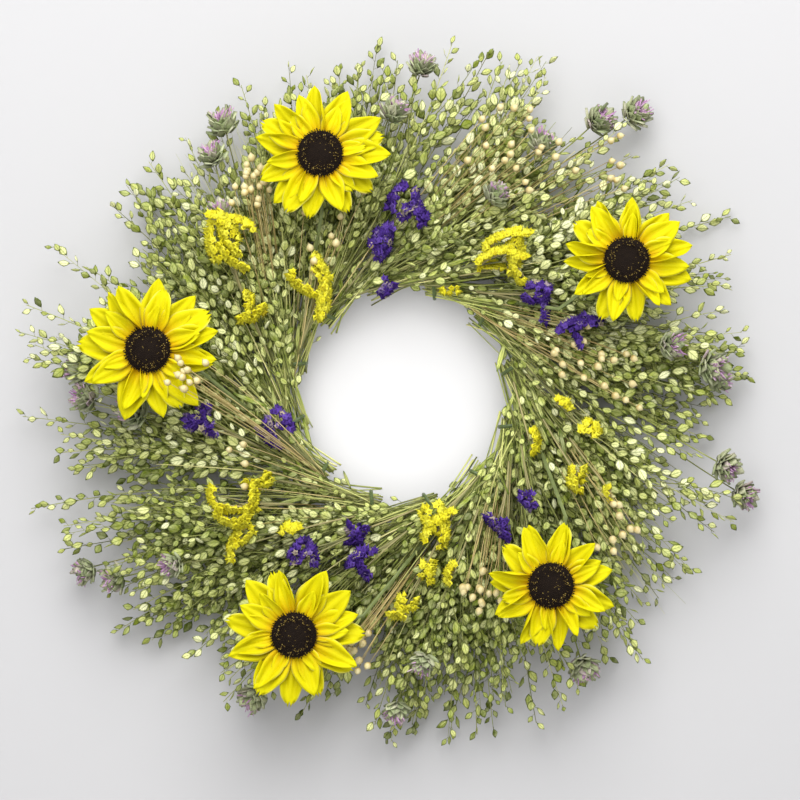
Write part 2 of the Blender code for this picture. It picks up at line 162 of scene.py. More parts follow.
GLOW_AWAY = 1.5
GLOW_RADIUS = 0.087
glow_data = bpy.data.lights.new("glow", "SPOT")
glow_data.energy = 58
glow_data.spot_size = 2 * math.atan(GLOW_RADIUS / GLOW_AWAY)
glow_data.spot_blend = 0.30
glow_data.shadow_soft_size = 0.03
glow = bpy.data.objects.new("glow", glow_data)
bpy.context.scene.collection.objects.link(glow)
glow.location = RING_CENTRE + Vector((0, -GLOW_AWAY, 0))
glow.rotation_euler = (math.radians(90), 0, 0)
print("three lights")

# %% [markdown]
# ## The wall and the floor
# A dried wreath hangs on a plain painted wall.  The wall is one big plane just behind the wreath,
# and its back face is see-through, so that the wreath can also be looked at from behind.  The floor
# lies well below.

# %% Wall and floor
WALL_PAINT = (0.515, 0.510, 0.513, 1.0)
wall_paint = bpy.data.materials.new("wall_paint")
wall_paint.use_nodes = True
nodes = wall_paint.node_tree.nodes
links = wall_paint.node_tree.links
paint = nodes["Principled BSDF"]
paint.inputs["Base Color"].default_value = WALL_PAINT
paint.inputs["Roughness"].default_value = 0.9
sides = nodes.new("ShaderNodeNewGeometry")
clear = nodes.new("ShaderNodeBsdfTransparent")
pick = nodes.new("ShaderNodeMixShader")
links.new(sides.outputs["Backfacing"], pick.inputs[0])
links.new(paint.outputs[0], pick.inputs[1])
links.new(clear.outputs[0], pick.inputs[2])
links.new(pick.outputs[0], nodes["Material Output"].inputs["Surface"])


def stage_plane(name, mat, place, turn):
    bpy.ops.object.select_all(action="DESELECT")
    bpy.ops.mesh.primitive_plane_add(size=6, location=place, rotation=turn)
    plane = bpy.context.active_object
    plane.name = name
    plane.data.materials.append(mat)
    plane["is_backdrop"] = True


stage_plane("wall", wall_paint, (0, 1 * MM, 0), (math.radians(90), 0, 0))
floor_paint = wall_paint.copy()
floor_paint.name = "floor_paint"
stage_plane("floor", floor_paint, (0, 0, cad_low.z - 0.25), (0, 0, 0))
print("stage ready")

# %% [markdown]
# ## Helpers for node materials
# A material is a small graph.  These helpers keep each one readable: `add_node` places a node and
# sets its values, and `shader_group` makes a reusable effect with named inputs and outputs.  Every
# small part has a map of its own, and `across_and_along` splits it into its two numbers.

# %% Node helpers
def add_node(tree, kind, settings=None, **values):
    """A new node; settings are its own properties, values go to its inputs."""
    node = tree.nodes.new(kind)
    for name, value in (settings or {}).items():
        setattr(node, name, value)
    for name, value in values.items():
        node.inputs[name.replace("_", " ")].default_value = value
    return node


def join(tree, source, target):
    tree.links.new(source, target)


def maths(tree, operation, first, second=None, third=None):
    """One Math node; each input is a socket, a number or nothing."""
    node = tree.nodes.new("ShaderNodeMath")
    node.operation = operation
    for index, value in enumerate((first, second, third)):
        if value is None:
            continue
        if isinstance(value, (int, float)):
            node.inputs[index].default_value = value
        else:
            tree.links.new(value, node.inputs[index])
    return node.outputs[0]


def blend_colours(tree, amount, first, second):
    """Mix two colours; each input is a socket, or a plain value."""
    node = tree.nodes.new("ShaderNodeMix")
    node.data_type = "RGBA"
    for socket, value in ((node.inputs[0], amount), (node.inputs[6], first), (node.inputs[7], second)):
        if isinstance(value, (int, float)):
            socket.default_value = value
        elif isinstance(value, tuple):
            socket.default_value = (*value, 1.0)
        else:
            tree.links.new(value, socket)
    return node.outputs[2]


def ramp(tree, amount, stops):
    """A colour ramp with its stops as (position, colour)."""
    node = tree.nodes.new("ShaderNodeValToRGB")
    points = node.color_ramp.elements
    while len(points) < len(stops):
        points.new(0.5)
    for point, (position, colour) in zip(points, stops):
        point.position = position
        point.color = (*colour, 1.0)
    tree.links.new(amount, node.inputs[0])
    return node.outputs[0]


def shader_group(name, inputs, outputs):
    """An empty node group with its sockets, and its input and output nodes."""
    group = bpy.data.node_groups.new(name, "ShaderNodeTree")
    for label, kind, value in inputs:
        socket = group.interface.new_socket(label, in_out="INPUT", socket_type=kind)
        socket.default_value = value
    for label, kind in outputs:
        group.interface.new_socket(label, in_out="OUTPUT", socket_type=kind)
    return group, group.nodes.new("NodeGroupInput"), group.nodes.new("NodeGroupOutput")


def use_group(tree, group, **values):
    """Place a group in a material, with a socket, number or colour for each input."""
    node = tree.nodes.new("ShaderNodeGroup")
    node.node_tree = group
    for name, value in values.items():
        socket = node.inputs[name.replace("_", " ")]
        if isinstance(value, (int, float)):
            socket.default_value = value
        elif isinstance(value, tuple):
            socket.default_value = (*value, 1.0)
        else:
            tree.links.new(value, socket)
    return node


def own_map_of(tree):
    return add_node(tree, "ShaderNodeUVMap", {"uv_map": "leaf_map"}).outputs[0]


def across_and_along(tree, own_map):
    split = tree.nodes.new("ShaderNodeSeparateXYZ")
    join(tree, own_map, split.inputs[0])
    return split.outputs[0], split.outputs[1]


print("node helpers ready")

# %% [markdown]
# ## Effects that many finishes share: fading
# Dried plants fade unevenly, in patches of a few millimetres.  The `faded` group mixes a second
# colour in by such patches.  It is built once, and each finish gives it its own two colours.

# %% The faded effect
FADED, faded_in, faded_out = shader_group(
    "faded",
    [
        ("Colour", "NodeSocketColor", (0.5, 0.5, 0.5, 1.0)),
        ("Second", "NodeSocketColor", (0.3, 0.3, 0.3, 1.0)),
        ("Patch Scale", "NodeSocketFloat", 90.0),
        ("Amount", "NodeSocketFloat", 0.5),
    ],
    [("Colour", "NodeSocketColor"), ("Patches", "NodeSocketFloat")],
)
place = FADED.nodes.new("ShaderNodeTexCoord")
patches = add_node(FADED, "ShaderNodeTexNoise", Detail=3.0, Roughness=0.6)
join(FADED, place.outputs["Object"], patches.inputs["Vector"])
join(FADED, faded_in.outputs["Patch Scale"], patches.inputs["Scale"])
spread = add_node(FADED, "ShaderNodeMapRange", From_Min=0.35, From_Max=0.68)
join(FADED, patches.outputs["Fac"], spread.inputs["Value"])
amount = maths(FADED, "MULTIPLY", spread.outputs[0], faded_in.outputs["Amount"])
mixed = blend_colours(FADED, amount, faded_in.outputs["Colour"], faded_in.outputs["Second"])
join(FADED, mixed, faded_out.inputs["Colour"])
join(FADED, spread.outputs[0], faded_out.inputs["Patches"])
print("group", FADED.name)

# %% [markdown]
# ## Effects that many finishes share: leaf lines
# Every small leaf-like part has a midrib, side veins and a darker rim.  The `leaf_lines` group
# draws them from the part's own map, whose first number runs across and whose second runs along.

# %% The leaf lines
LEAF_LINES, lines_in, lines_out = shader_group(
    "leaf_lines",
    [("Veins", "NodeSocketFloat", 9.0)],
    [("Lines", "NodeSocketFloat"), ("Rim", "NodeSocketFloat")],
)
from_side, along = across_and_along(LEAF_LINES, own_map_of(LEAF_LINES))
across = maths(LEAF_LINES, "ABSOLUTE", maths(LEAF_LINES, "SUBTRACT", from_side, 0.5))
midrib = add_node(LEAF_LINES, "ShaderNodeMapRange", From_Min=0.05, From_Max=0.012)
join(LEAF_LINES, across, midrib.inputs["Value"])
slant = maths(LEAF_LINES, "SUBTRACT", along, maths(LEAF_LINES, "MULTIPLY", across, 0.9))
turns = maths(LEAF_LINES, "MULTIPLY", slant, lines_in.outputs["Veins"])
wave = maths(LEAF_LINES, "SINE", maths(LEAF_LINES, "MULTIPLY", turns, 2 * math.pi))
veins = add_node(LEAF_LINES, "ShaderNodeMapRange", From_Min=0.6, From_Max=1.0, To_Max=0.55)
join(LEAF_LINES, wave, veins.inputs["Value"])
drawn = maths(LEAF_LINES, "MAXIMUM", midrib.outputs[0], veins.outputs[0])
join(LEAF_LINES, drawn, lines_out.inputs["Lines"])

off_middle = maths(LEAF_LINES, "MULTIPLY", maths(LEAF_LINES, "SUBTRACT", along, 0.5), 2.0)
across_squared = maths(LEAF_LINES, "POWER", maths(LEAF_LINES, "MULTIPLY", across, 2.0), 2.0)
along_squared = maths(LEAF_LINES, "MULTIPLY", off_middle, off_middle)
from_middle = maths(LEAF_LINES, "SQRT", maths(LEAF_LINES, "ADD", across_squared, along_squared))
rim = add_node(LEAF_LINES, "ShaderNodeMapRange", From_Min=0.60, From_Max=0.92)
join(LEAF_LINES, from_middle, rim.inputs["Value"])
join(LEAF_LINES, rim.outputs[0], lines_out.inputs["Rim"])
print("groups", [group.name for group in bpy.data.node_groups])

# %% [markdown]
# ## Materials
# Each copy of a pod, floret or stalk carries one number, `tint`, so that a thousand copies in one
# mesh still differ.  Values that are the same all over are set on the shader's own sockets, and
# `bump_from` turns a pattern into fine relief.


# %% Start a material
def material(name, roughness=0.6, **uniform):
    """A Principled material, with its tree and its shader."""
    mat = bpy.data.materials.new(name)
    mat.use_nodes = True
    tree = mat.node_tree
    shader = tree.nodes["Principled BSDF"]
    shader.inputs["Roughness"].default_value = roughness
    for label, value in uniform.items():
        shader.inputs[label.replace("_", " ")].default_value = value
    return mat, tree, shader


def tint_of(tree):
    return add_node(tree, "ShaderNodeAttribute", {"attribute_name": "tint"}).outputs["Fac"]


def bump_from(tree, shader, height, distance, strength=0.6):
    bump = add_node(tree, "ShaderNodeBump", Strength=strength, Distance=distance)
    join(tree, height, bump.inputs["Height"])
    join(tree, bump.outputs[0], shader.inputs["Normal"])


print("material helpers ready")

# %% [markdown]
# ## Leaf-like finishes
# Seed pods, bergamot bracts and the flowers' sepals are all thin and veined.  They share one
# recipe: a body colour by tint, faded in patches, with veins and a rim drawn over it.  The pods run
# from shaded olive to the pale straw green of the thin outer wings.


# %% Leaf-like finishes: pods, bracts and sepals
def leaf_finish(name, stops, vein_colour, rim_colour, veins, vein_share, rim_share, roughness=0.62):
    mat, tree, shader = material(name, roughness, Specular_IOR_Level=0.10)
    body = ramp(tree, tint_of(tree), stops)
    patchy = use_group(tree, FADED, Colour=body, Second=stops[-1][1], Patch_Scale=140.0, Amount=0.35)
    lines = use_group(tree, LEAF_LINES, Veins=veins)
    line_share = maths(tree, "MULTIPLY", lines.outputs["Lines"], vein_share)
    veined = blend_colours(tree, line_share, patchy.outputs["Colour"], vein_colour)
    rimmed = maths(tree, "MULTIPLY", lines.outputs["Rim"], rim_share)
    join(tree, blend_colours(tree, rimmed, veined, rim_colour), shader.inputs["Base Color"])
    rough = maths(tree, "MULTIPLY_ADD", patchy.outputs["Patches"], 0.2, roughness - 0.1)
    join(tree, rough, shader.inputs["Roughness"])
    bump_from(tree, shader, lines.outputs["Lines"], 0.3 * MM)
    return mat


POD = leaf_finish(
    "seed_pod",
    [
        (0.0, (0.060, 0.080, 0.004)),
        (0.3, (0.250, 0.300, 0.030)),
        (0.6, (0.570, 0.605, 0.165)),
        (0.85, (0.800, 0.815, 0.380)),
        (1.0, (0.880, 0.880, 0.530)),
    ],
    vein_colour=(0.12, 0.18, 0.02),
    rim_colour=(0.075, 0.12, 0.012),
    veins=4.0,
    vein_share=0.70,
    rim_share=0.88,
)
BRACT = leaf_finish(
    "bergamot_bract",
    [
        (0.0, (0.17, 0.22, 0.09)),
        (0.5, (0.43, 0.51, 0.24)),
        (0.8, (0.62, 0.66, 0.40)),
        (1.0, (0.52, 0.38, 0.44)),
    ],
    vein_colour=(0.20, 0.27, 0.11),
    rim_colour=(0.10, 0.09, 0.07),
    veins=5.0,
    vein_share=0.45,
    rim_share=0.35,
)
SEPAL = leaf_finish(
    "calyx_green",
    [(0.0, (0.07, 0.15, 0.03)), (1.0, (0.20, 0.34, 0.09))],
    vein_colour=(0.10, 0.20, 0.05),
    rim_colour=(0.05, 0.10, 0.02),
    veins=6.0,
    vein_share=0.4,
    rim_share=0.3,
    roughness=0.5,
)
print("leaf-like finishes", [mat.name for mat in (POD, BRACT, SEPAL)])

# %% [markdown]
# ## Stalk finishes
# Stems dry with pale and dark streaks that run along them, so the noise is stretched along the
# stem's own map.  Seed-pod stems are olive, flax straws are golden and statice stems are brown.


# %% Stalk finishes
def stalk_finish(name, stops, roughness=0.6):
    mat, tree, shader = material(name, roughness, Specular_IOR_Level=0.12)
    stretch = add_node(tree, "ShaderNodeMapping", Scale=(3.0, 14.0, 1.0))
    join(tree, own_map_of(tree), stretch.inputs["Vector"])
    streaks = add_node(tree, "ShaderNodeTexNoise", Scale=3.0, Detail=4.0)
    join(tree, stretch.outputs[0], streaks.inputs["Vector"])
    body = ramp(tree, tint_of(tree), stops)
    patchy = use_group(tree, FADED, Colour=body, Second=stops[-1][1], Patch_Scale=60.0, Amount=0.3)
    darker = add_node(tree, "ShaderNodeMapRange", From_Min=0.55, From_Max=0.75, To_Max=0.5)
    join(tree, streaks.outputs["Fac"], darker.inputs["Value"])
    streaked = blend_colours(tree, darker.outputs[0], patchy.outputs["Colour"], stops[0][1])
    join(tree, streaked, shader.inputs["Base Color"])
    bump_from(tree, shader, streaks.outputs["Fac"], 0.15 * MM)
    return mat


STALK = stalk_finish(
    "dried_stalk",
    [
        (0.0, (0.026, 0.038, 0.004)),
        (0.3, (0.110, 0.145, 0.022)),
        (0.6, (0.320, 0.370, 0.080)),
        (0.85, (0.560, 0.580, 0.190)),
        (1.0, (0.760, 0.690, 0.330)),
    ],
)
FLAX_STRAW = stalk_finish("flax_straw", [(0.0, (0.26, 0.19, 0.06)), (1.0, (0.62, 0.50, 0.22))])
STATICE_STALK = stalk_finish("statice_stalk", [(0.0, (0.10, 0.12, 0.04)), (1.0, (0.42, 0.36, 0.17))])

print("stalk finishes", [mat.name for mat in (STALK, FLAX_STRAW, STATICE_STALK)])

# %% [markdown]
# ## Flax boll finish
# A ripe boll is cream and a little glossy, brown at its foot and at its point, with tan patches.

# %% Flax boll finish
FLAX, tree, shader = material("flax_boll", 0.32, Specular_IOR_Level=0.5)
_, along = across_and_along(tree, own_map_of(tree))
husk = ramp(
    tree,
    along,
    [
        (0.0, (0.20, 0.12, 0.03)),
        (0.3, (0.54, 0.40, 0.13)),
        (0.75, (0.80, 0.70, 0.36)),
        (1.0, (0.28, 0.18, 0.05)),
    ],
)
tanned = blend_colours(tree, maths(tree, "MULTIPLY", tint_of(tree), 0.5), husk, (0.48, 0.38, 0.14))
patchy = use_group(tree, FADED, Colour=tanned, Second=(0.80, 0.76, 0.48), Patch_Scale=260.0, Amount=0.4)
join(tree, patchy.outputs["Colour"], shader.inputs["Base Color"])
bump_from(tree, shader, patchy.outputs["Patches"], 0.2 * MM)
print("finish", FLAX.name)

# %% [markdown]
# ## Papery finishes
# A statice floret is a dry, papery funnel, darkest in its throat and pale at its frilled edge.  The
# dark throat is partly its own colour and partly painted shade in the hollow of the funnel, and the
# pale edge is partly thin paper and partly a painted highlight.  Its map runs from the throat to the
# edge, so one recipe serves yellow and purple statice and the mauve tubes of the bergamot.


# %% Papery finishes
def papery(name, stops, throat, edge):
    mat, tree, shader = material(name, 0.75, Specular_IOR_Level=0.15)
    _, outwards = across_and_along(tree, own_map_of(tree))
    body = ramp(tree, tint_of(tree), stops)
    # Painted shade with the throat's own darker colour: darker towards the funnel's hollow middle
    dark_throat_and_shade = add_node(tree, "ShaderNodeMapRange", From_Min=0.45, From_Max=0.10, To_Max=0.70)
    join(tree, outwards, dark_throat_and_shade.inputs["Value"])
    # Painted highlight with the thin paper's paleness: paler at the frilled edge
    thin_edge_and_highlight = add_node(tree, "ShaderNodeMapRange", From_Min=0.82, From_Max=1.0, To_Max=0.5)
    join(tree, outwards, thin_edge_and_highlight.inputs["Value"])
    throated = blend_colours(tree, dark_throat_and_shade.outputs[0], body, throat)
    edged = blend_colours(tree, thin_edge_and_highlight.outputs[0], throated, edge)
    patchy = use_group(tree, FADED, Colour=edged, Second=throat, Patch_Scale=420.0, Amount=0.3)
    join(tree, patchy.outputs["Colour"], shader.inputs["Base Color"])
    bump_from(tree, shader, patchy.outputs["Patches"], 0.25 * MM)
    return mat


YELLOW_PAPER = papery(
    "yellow_statice",
    [(0.0, (0.60, 0.50, 0.02)), (0.35, (0.84, 0.77, 0.02)), (1.0, (0.92, 0.88, 0.07))],
    throat=(0.34, 0.26, 0.01),
    edge=(0.94, 0.91, 0.16),
)
PURPLE_PAPER = papery(
    "purple_statice",
    [
        (0.0, (0.018, 0.008, 0.080)),
        (0.5, (0.065, 0.024, 0.240)),
        (0.84, (0.150, 0.080, 0.420)),
        (1.0, (0.50, 0.42, 0.28)),
    ],
    throat=(0.035, 0.015, 0.060),
    edge=(0.14, 0.07, 0.46),
)
MAUVE = papery(
    "bergamot_floret",
    [(0.0, (0.34, 0.15, 0.34)), (0.6, (0.56, 0.33, 0.54)), (1.0, (0.72, 0.56, 0.64))],
    throat=(0.30, 0.17, 0.24),
    edge=(0.66, 0.50, 0.62),
)
print("papery finishes", [mat.name for mat in (YELLOW_PAPER, PURPLE_PAPER, MAUVE)])

# %% [markdown]
# ## Petal finish
# The artificial petals are dyed cloth, pressed into grooves: orange at the foot, lemon for the rest
# of their length, with a paler cut edge and faint darker fibres that run along them.

# %% Petal finish
PETAL, tree, shader = material("pressed_petal", 0.6, Specular_IOR_Level=0.10)
own_map = own_map_of(tree)
across, along = across_and_along(tree, own_map)
lemon = ramp(
    tree,
    along,
    [
        (0.0, (0.36, 0.11, 0.002)),
        (0.16, (0.59, 0.28, 0.001)),
        (0.32, (0.65, 0.47, 0.001)),
        (0.52, (0.655, 0.58, 0.001)),
        (1.0, (0.665, 0.63, 0.001)),
    ],
)
# A higher tint darkens the lemon: each petal's own tone, and painted shade for the back ring
toned_and_shaded = blend_colours(tree, maths(tree, "MULTIPLY", tint_of(tree), 0.55), lemon, (0.50, 0.46, 0.001))
off_middle = maths(tree, "ABSOLUTE", maths(tree, "SUBTRACT", across, 0.5))
pale = add_node(tree, "ShaderNodeMapRange", From_Min=0.455, From_Max=0.5, To_Max=0.6)
join(tree, off_middle, pale.inputs["Value"])
edged = blend_colours(tree, pale.outputs[0], toned_and_shaded, (0.86, 0.82, 0.22))
long_lines = add_node(tree, "ShaderNodeMapping", Scale=(26.0, 1.4, 1.0))
join(tree, own_map, long_lines.inputs["Vector"])
fibres = add_node(tree, "ShaderNodeTexNoise", Scale=1.6, Detail=5.0, Roughness=0.65)
join(tree, long_lines.outputs[0], fibres.inputs["Vector"])
line_share = add_node(tree, "ShaderNodeMapRange", From_Min=0.47, From_Max=0.72, To_Max=0.6)
join(tree, fibres.outputs["Fac"], line_share.inputs["Value"])
lined = blend_colours(tree, line_share.outputs[0], edged, (0.58, 0.47, 0.001))
patchy = use_group(tree, FADED, Colour=lined, Second=(0.70, 0.62, 0.001), Patch_Scale=45.0, Amount=0.3)
join(tree, patchy.outputs["Colour"], shader.inputs["Base Color"])
bump_from(tree, shader, fibres.outputs["Fac"], 0.25 * MM)
print("finish", PETAL.name)

# %% [markdown]
# ## Flocked seed disc finish
# The disc is covered in short dark brown nap.  Some florets are flecked with gold, and their tint
# says which.

# %% Flocked seed disc finish
FLOCK, tree, shader = material("flocked_disc", 0.9, Specular_IOR_Level=0.12)
nap = ramp(
    tree,
    tint_of(tree),
    [
        (0.0, (0.012, 0.008, 0.006)),
        (0.55, (0.035, 0.022, 0.012)),
        (0.8, (0.20, 0.13, 0.03)),
        (1.0, (0.52, 0.38, 0.10)),
    ],
)
patchy = use_group(tree, FADED, Colour=nap, Second=(0.02, 0.012, 0.008), Patch_Scale=900.0, Amount=0.5)
join(tree, patchy.outputs["Colour"], shader.inputs["Base Color"])
bump_from(tree, shader, patchy.outputs["Patches"], 0.4 * MM)
print("finish", FLOCK.name)

# %% [markdown]
# ## Painted wire and plastic-covered stems
# The ring, its clamps and the hanging loop are steel wire with green paint, worn unevenly and
# chipped to bare metal here and there.  The flowers' wired stems and calyxes are moulded green
# plastic.

# %% Painted wire and plastic-covered stem
PAINTED_WIRE, tree, shader = material("painted_wire", 0.42, Specular_IOR_Level=0.5)
worn = use_group(
    tree, FADED, Colour=(0.085, 0.120, 0.035), Second=(0.045, 0.065, 0.022), Patch_Scale=300.0, Amount=0.8
)
chips = add_node(tree, "ShaderNodeTexNoise", Scale=420.0, Detail=4.0)
where = tree.nodes.new("ShaderNodeTexCoord")
join(tree, where.outputs["Object"], chips.inputs["Vector"])
chipped = add_node(tree, "ShaderNodeMapRange", From_Min=0.69, From_Max=0.74)
join(tree, chips.outputs["Fac"], chipped.inputs["Value"])
bare = blend_colours(tree, chipped.outputs[0], worn.outputs["Colour"], (0.24, 0.23, 0.21))
join(tree, bare, shader.inputs["Base Color"])
join(tree, chipped.outputs[0], shader.inputs["Metallic"])
bump_from(tree, shader, chips.outputs["Fac"], 0.1 * MM)

STEM_PLASTIC, tree, shader = material("stem_plastic", 0.48, Specular_IOR_Level=0.45)
mould = use_group(
    tree, FADED, Colour=(0.20, 0.24, 0.08), Second=(0.11, 0.14, 0.045), Patch_Scale=220.0, Amount=0.7
)
join(tree, mould.outputs["Colour"], shader.inputs["Base Color"])
bump_from(tree, shader, mould.outputs["Patches"], 0.2 * MM)
print("finishes", PAINTED_WIRE.name, STEM_PLASTIC.name)

# %% [markdown]
# ## Modelling helpers
# A primitive is added at a unit size and shaped in edit mode.  `pull` moves the vertices that a
# rule picks, with Blender's own transform operator.  `shape_by` is for forms that no single
# operator gives, such as a petal's grooves: it moves each vertex by a formula.

# %% Start, pull and shape
def start(name, maker, **settings):
    """Add one primitive with nothing else selected."""
    bpy.ops.object.select_all(action="DESELECT")
    maker(**settings)
    piece = bpy.context.active_object
    piece.name = name
    return piece


def pull(piece, which, move=(0, 0, 0), resize=None, about=(0, 0, 0)):
    """Move or resize the vertices for which which(place) is true."""
    bpy.ops.object.mode_set(mode="EDIT")
    bpy.ops.mesh.select_all(action="DESELECT")
    shape = bmesh.from_edit_mesh(piece.data)
    for vertex in shape.verts:
        vertex.select = bool(which(vertex.co))
    shape.select_flush(True)
    bmesh.update_edit_mesh(piece.data)
    if resize is not None:
        bpy.ops.transform.resize(value=resize, center_override=about)
    bpy.ops.transform.translate(value=move)
    bpy.ops.object.mode_set(mode="OBJECT")


def shape_by(piece, rule):
    for vertex in piece.data.vertices:
        vertex.co = rule(vertex.co)
    piece.data.update()


def apply_modifier(piece, kind, **settings):
    modifier = piece.modifiers.new(kind.lower(), kind)
    for name, value in settings.items():
        setattr(modifier, name, value)
    bpy.ops.object.select_all(action="DESELECT")
    piece.select_set(True)
    bpy.context.view_layer.objects.active = piece
    bpy.ops.object.modifier_apply(modifier=modifier.name)


print("modelling helpers ready")

# %% [markdown]
# ## Templates and planting
# A template is taken off its object as plain arrays: places, faces, and two maps.  `leaf_map` says
# how far across and along the part a point is, and the patterns read it.  The second map gives each
# side of each copy its own patch, so that a baked picture never lays one copy over another.

# %% Take a template off its object
class Template:
    """One small part as arrays, ready to be copied many times."""

    def __init__(self, piece, leaf_map=None):
        mesh = piece.data
        mesh.update()
        count = len(mesh.vertices)
        self.points = np.empty(count * 3)
        mesh.vertices.foreach_get("co", self.points)
        self.points = self.points.reshape(-1, 3)
        self.corners = np.empty(len(mesh.loops), int)
        mesh.loops.foreach_get("vertex_index", self.corners)
        self.sizes = np.array([len(face.vertices) for face in mesh.polygons])
        up = np.repeat([face.normal.z > 0 for face in mesh.polygons], self.sizes)
        low = self.points.min(0)
        span = np.maximum(self.points.max(0) - low, 1e-9)
        flat = ((self.points - low) / span)[self.corners][:, :2]
        self.leaf = flat.copy() if leaf_map is None else leaf_map(self.points)[self.corners]
        self.patch = flat * (0.46, 0.92) + (0.02, 0.04)
        self.patch[~up, 0] += 0.5
        bpy.data.objects.remove(piece, do_unlink=True)

    def planted(self, origins, frames, tints):
        """Copies at origins, turned and sized by 3x3 frames, each with its tint."""
        origins = np.asarray(origins, float).reshape(-1, 3)
        frames = np.asarray(frames, float).reshape(-1, 3, 3)
        copies = len(origins)
        points = np.einsum("mij,nj->mni", frames, self.points) + origins[:, None]
        corners = self.corners[None] + len(self.points) * np.arange(copies)[:, None]
        return {
            "points": points.reshape(-1, 3),
            "corners": corners.reshape(-1),
            "sizes": np.tile(self.sizes, copies),
            "leaf": np.tile(self.leaf, (copies, 1)),
            "patch": np.tile(self.patch, (copies, 1)),
            "copy": np.repeat(np.arange(copies), len(self.corners)),
            "copies": copies,
            "tint": np.repeat(np.asarray(tints, float), len(self.points)),
        }


print("template class ready")

# %% [markdown]
# ## Joining copies into one piece
# A bunch has about a thousand pods, too many to be objects of their own.  `grow` writes all copies
# into one mesh, gives each its own square of the baking map, tells the frame which body the piece
# rides on, and hides the plain solids it stands for.


# %% Join planted batches into one piece
def joined(batches, part):
    return np.concatenate([batch[part] for batch in batches])


def grow(name, batches, mat, body, stands_for=(), smooth=True):
    """One mesh from planted batches, with its maps, tints, material and body; it hides what it stands for."""
    batches = [batch for batch in batches if batch["copies"]]
    starts = np.cumsum([0] + [len(batch["points"]) for batch in batches])
    firsts = np.cumsum([0] + [batch["copies"] for batch in batches])
    points = joined(batches, "points")
    corners = np.concatenate([batch["corners"] + start for batch, start in zip(batches, starts)])
    sizes = joined(batches, "sizes")
    face_starts = np.concatenate([[0], np.cumsum(sizes)[:-1]])
    mesh = bpy.data.meshes.new(name)
    mesh.vertices.add(len(points))
    mesh.vertices.foreach_set("co", points.astype(np.float32).ravel())
    mesh.loops.add(len(corners))
    mesh.loops.foreach_set("vertex_index", corners.astype(np.int32))
    mesh.polygons.add(len(sizes))
    mesh.polygons.foreach_set("loop_start", face_starts.astype(np.int32))
    mesh.update(calc_edges=True)
    mesh.validate()

    leaf_layer = mesh.uv_layers.new(name="leaf_map")
    leaf_layer.data.foreach_set("uv", joined(batches, "leaf").astype(np.float32).ravel())
    copy = np.concatenate([batch["copy"] + first for batch, first in zip(batches, firsts)])
    side = math.ceil(math.sqrt(firsts[-1]))
    cell = np.stack([copy % side, copy // side], axis=1)
    patch = (joined(batches, "patch") + cell) / side
    bake_layer = mesh.uv_layers.new(name="OFBake")
    bake_layer.data.foreach_set("uv", patch.astype(np.float32).ravel())
    tint = mesh.attributes.new("tint", "FLOAT", "POINT")
    tint.data.foreach_set("value", joined(batches, "tint").astype(np.float32))
    if smooth:
        mesh.shade_smooth()
    mesh.materials.append(mat)
    piece = bpy.data.objects.new(name, mesh)
    bpy.context.scene.collection.objects.link(piece)
    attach(piece, body)
    if stands_for:
        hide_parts(*stands_for)
    return piece


print("grow ready")

# %% [markdown]
# ## Stems as tubes
# A stem could be a curve with a bevel, but there are thousands, with thicknesses and tints of their
# own.  `tubes` sweeps rings of points along many paths at once and closes both ends.  The map runs
# along the stem and round it.  `frames_from` turns a flat part along its stem.


# %% Tubes along many paths at once
def unit(vectors):
    return vectors / np.maximum(np.linalg.norm(vectors, axis=-1, keepdims=True), 1e-12)


def tubes(paths, radii, sides, tints):
    """Closed tubes: paths is (count, steps, 3), radii (count, steps)."""
    paths = np.asarray(paths, float)
    count, steps = paths.shape[:2]
    radii = np.broadcast_to(radii, (count, steps))
    along = unit(np.gradient(paths, axis=1))
    up = np.broadcast_to(np.array((0.31, -0.88, 0.36)), along.shape)
    first = unit(np.cross(along, up))
    second = np.cross(along, first)
    angles = 2 * math.pi * np.arange(sides) / sides
    ring = np.cos(angles)[:, None] * first[:, :, None] + np.sin(angles)[:, None] * second[:, :, None]
    points = paths[:, :, None] + ring * radii[:, :, None, None]
    corners = []
    sizes = []
    leaf = []
    for step in range(steps - 1):
        for j in range(sides):
            for row, column in ((step, j), (step, j + 1), (step + 1, j + 1), (step + 1, j)):
                corners.append(row * sides + column % sides)
                leaf.append((row / (steps - 1), column / sides))
            sizes.append(4)
    for step, order in ((0, range(sides)[::-1]), (steps - 1, range(sides))):
        corners += [step * sides + j for j in order]
        leaf += [(step / (steps - 1), 0.02 * j / sides) for j in order]
        sizes.append(sides)
    leaf = np.array(leaf)
    firsts = steps * sides * np.arange(count)[:, None]
    return {
        "points": points.reshape(-1, 3),
        "corners": (np.array(corners)[None] + firsts).reshape(-1),
        "sizes": np.tile(sizes, count),
        "leaf": np.tile(leaf, (count, 1)),
        "patch": np.tile(leaf * 0.92 + 0.04, (count, 1)),
        "copy": np.repeat(np.arange(count), len(corners)),
        "copies": count,
        "tint": np.repeat(np.asarray(tints, float), steps * sides),
    }


def frames_from(along, facing, sizes):
    """Frames with Y along and Z about facing, scaled by sizes (width, length, depth)."""
    y = unit(along)
    x = unit(np.cross(y, facing))
    z = np.cross(x, y)
    return np.stack([x, y, z], axis=-1) * np.asarray(sizes, float)[:, None, :]


print("planting helpers ready")

# %% [markdown]
# ## The seed pod
# The sprays are dried pennycress.  Each pod is a flat oval purse with a thin wing around it, a
# narrow foot and a small point.  It starts as a ball of few faces, is pressed flat, and its rim is
# pulled out into the wing.  There are thousands, so the shape has only a few dozen faces.

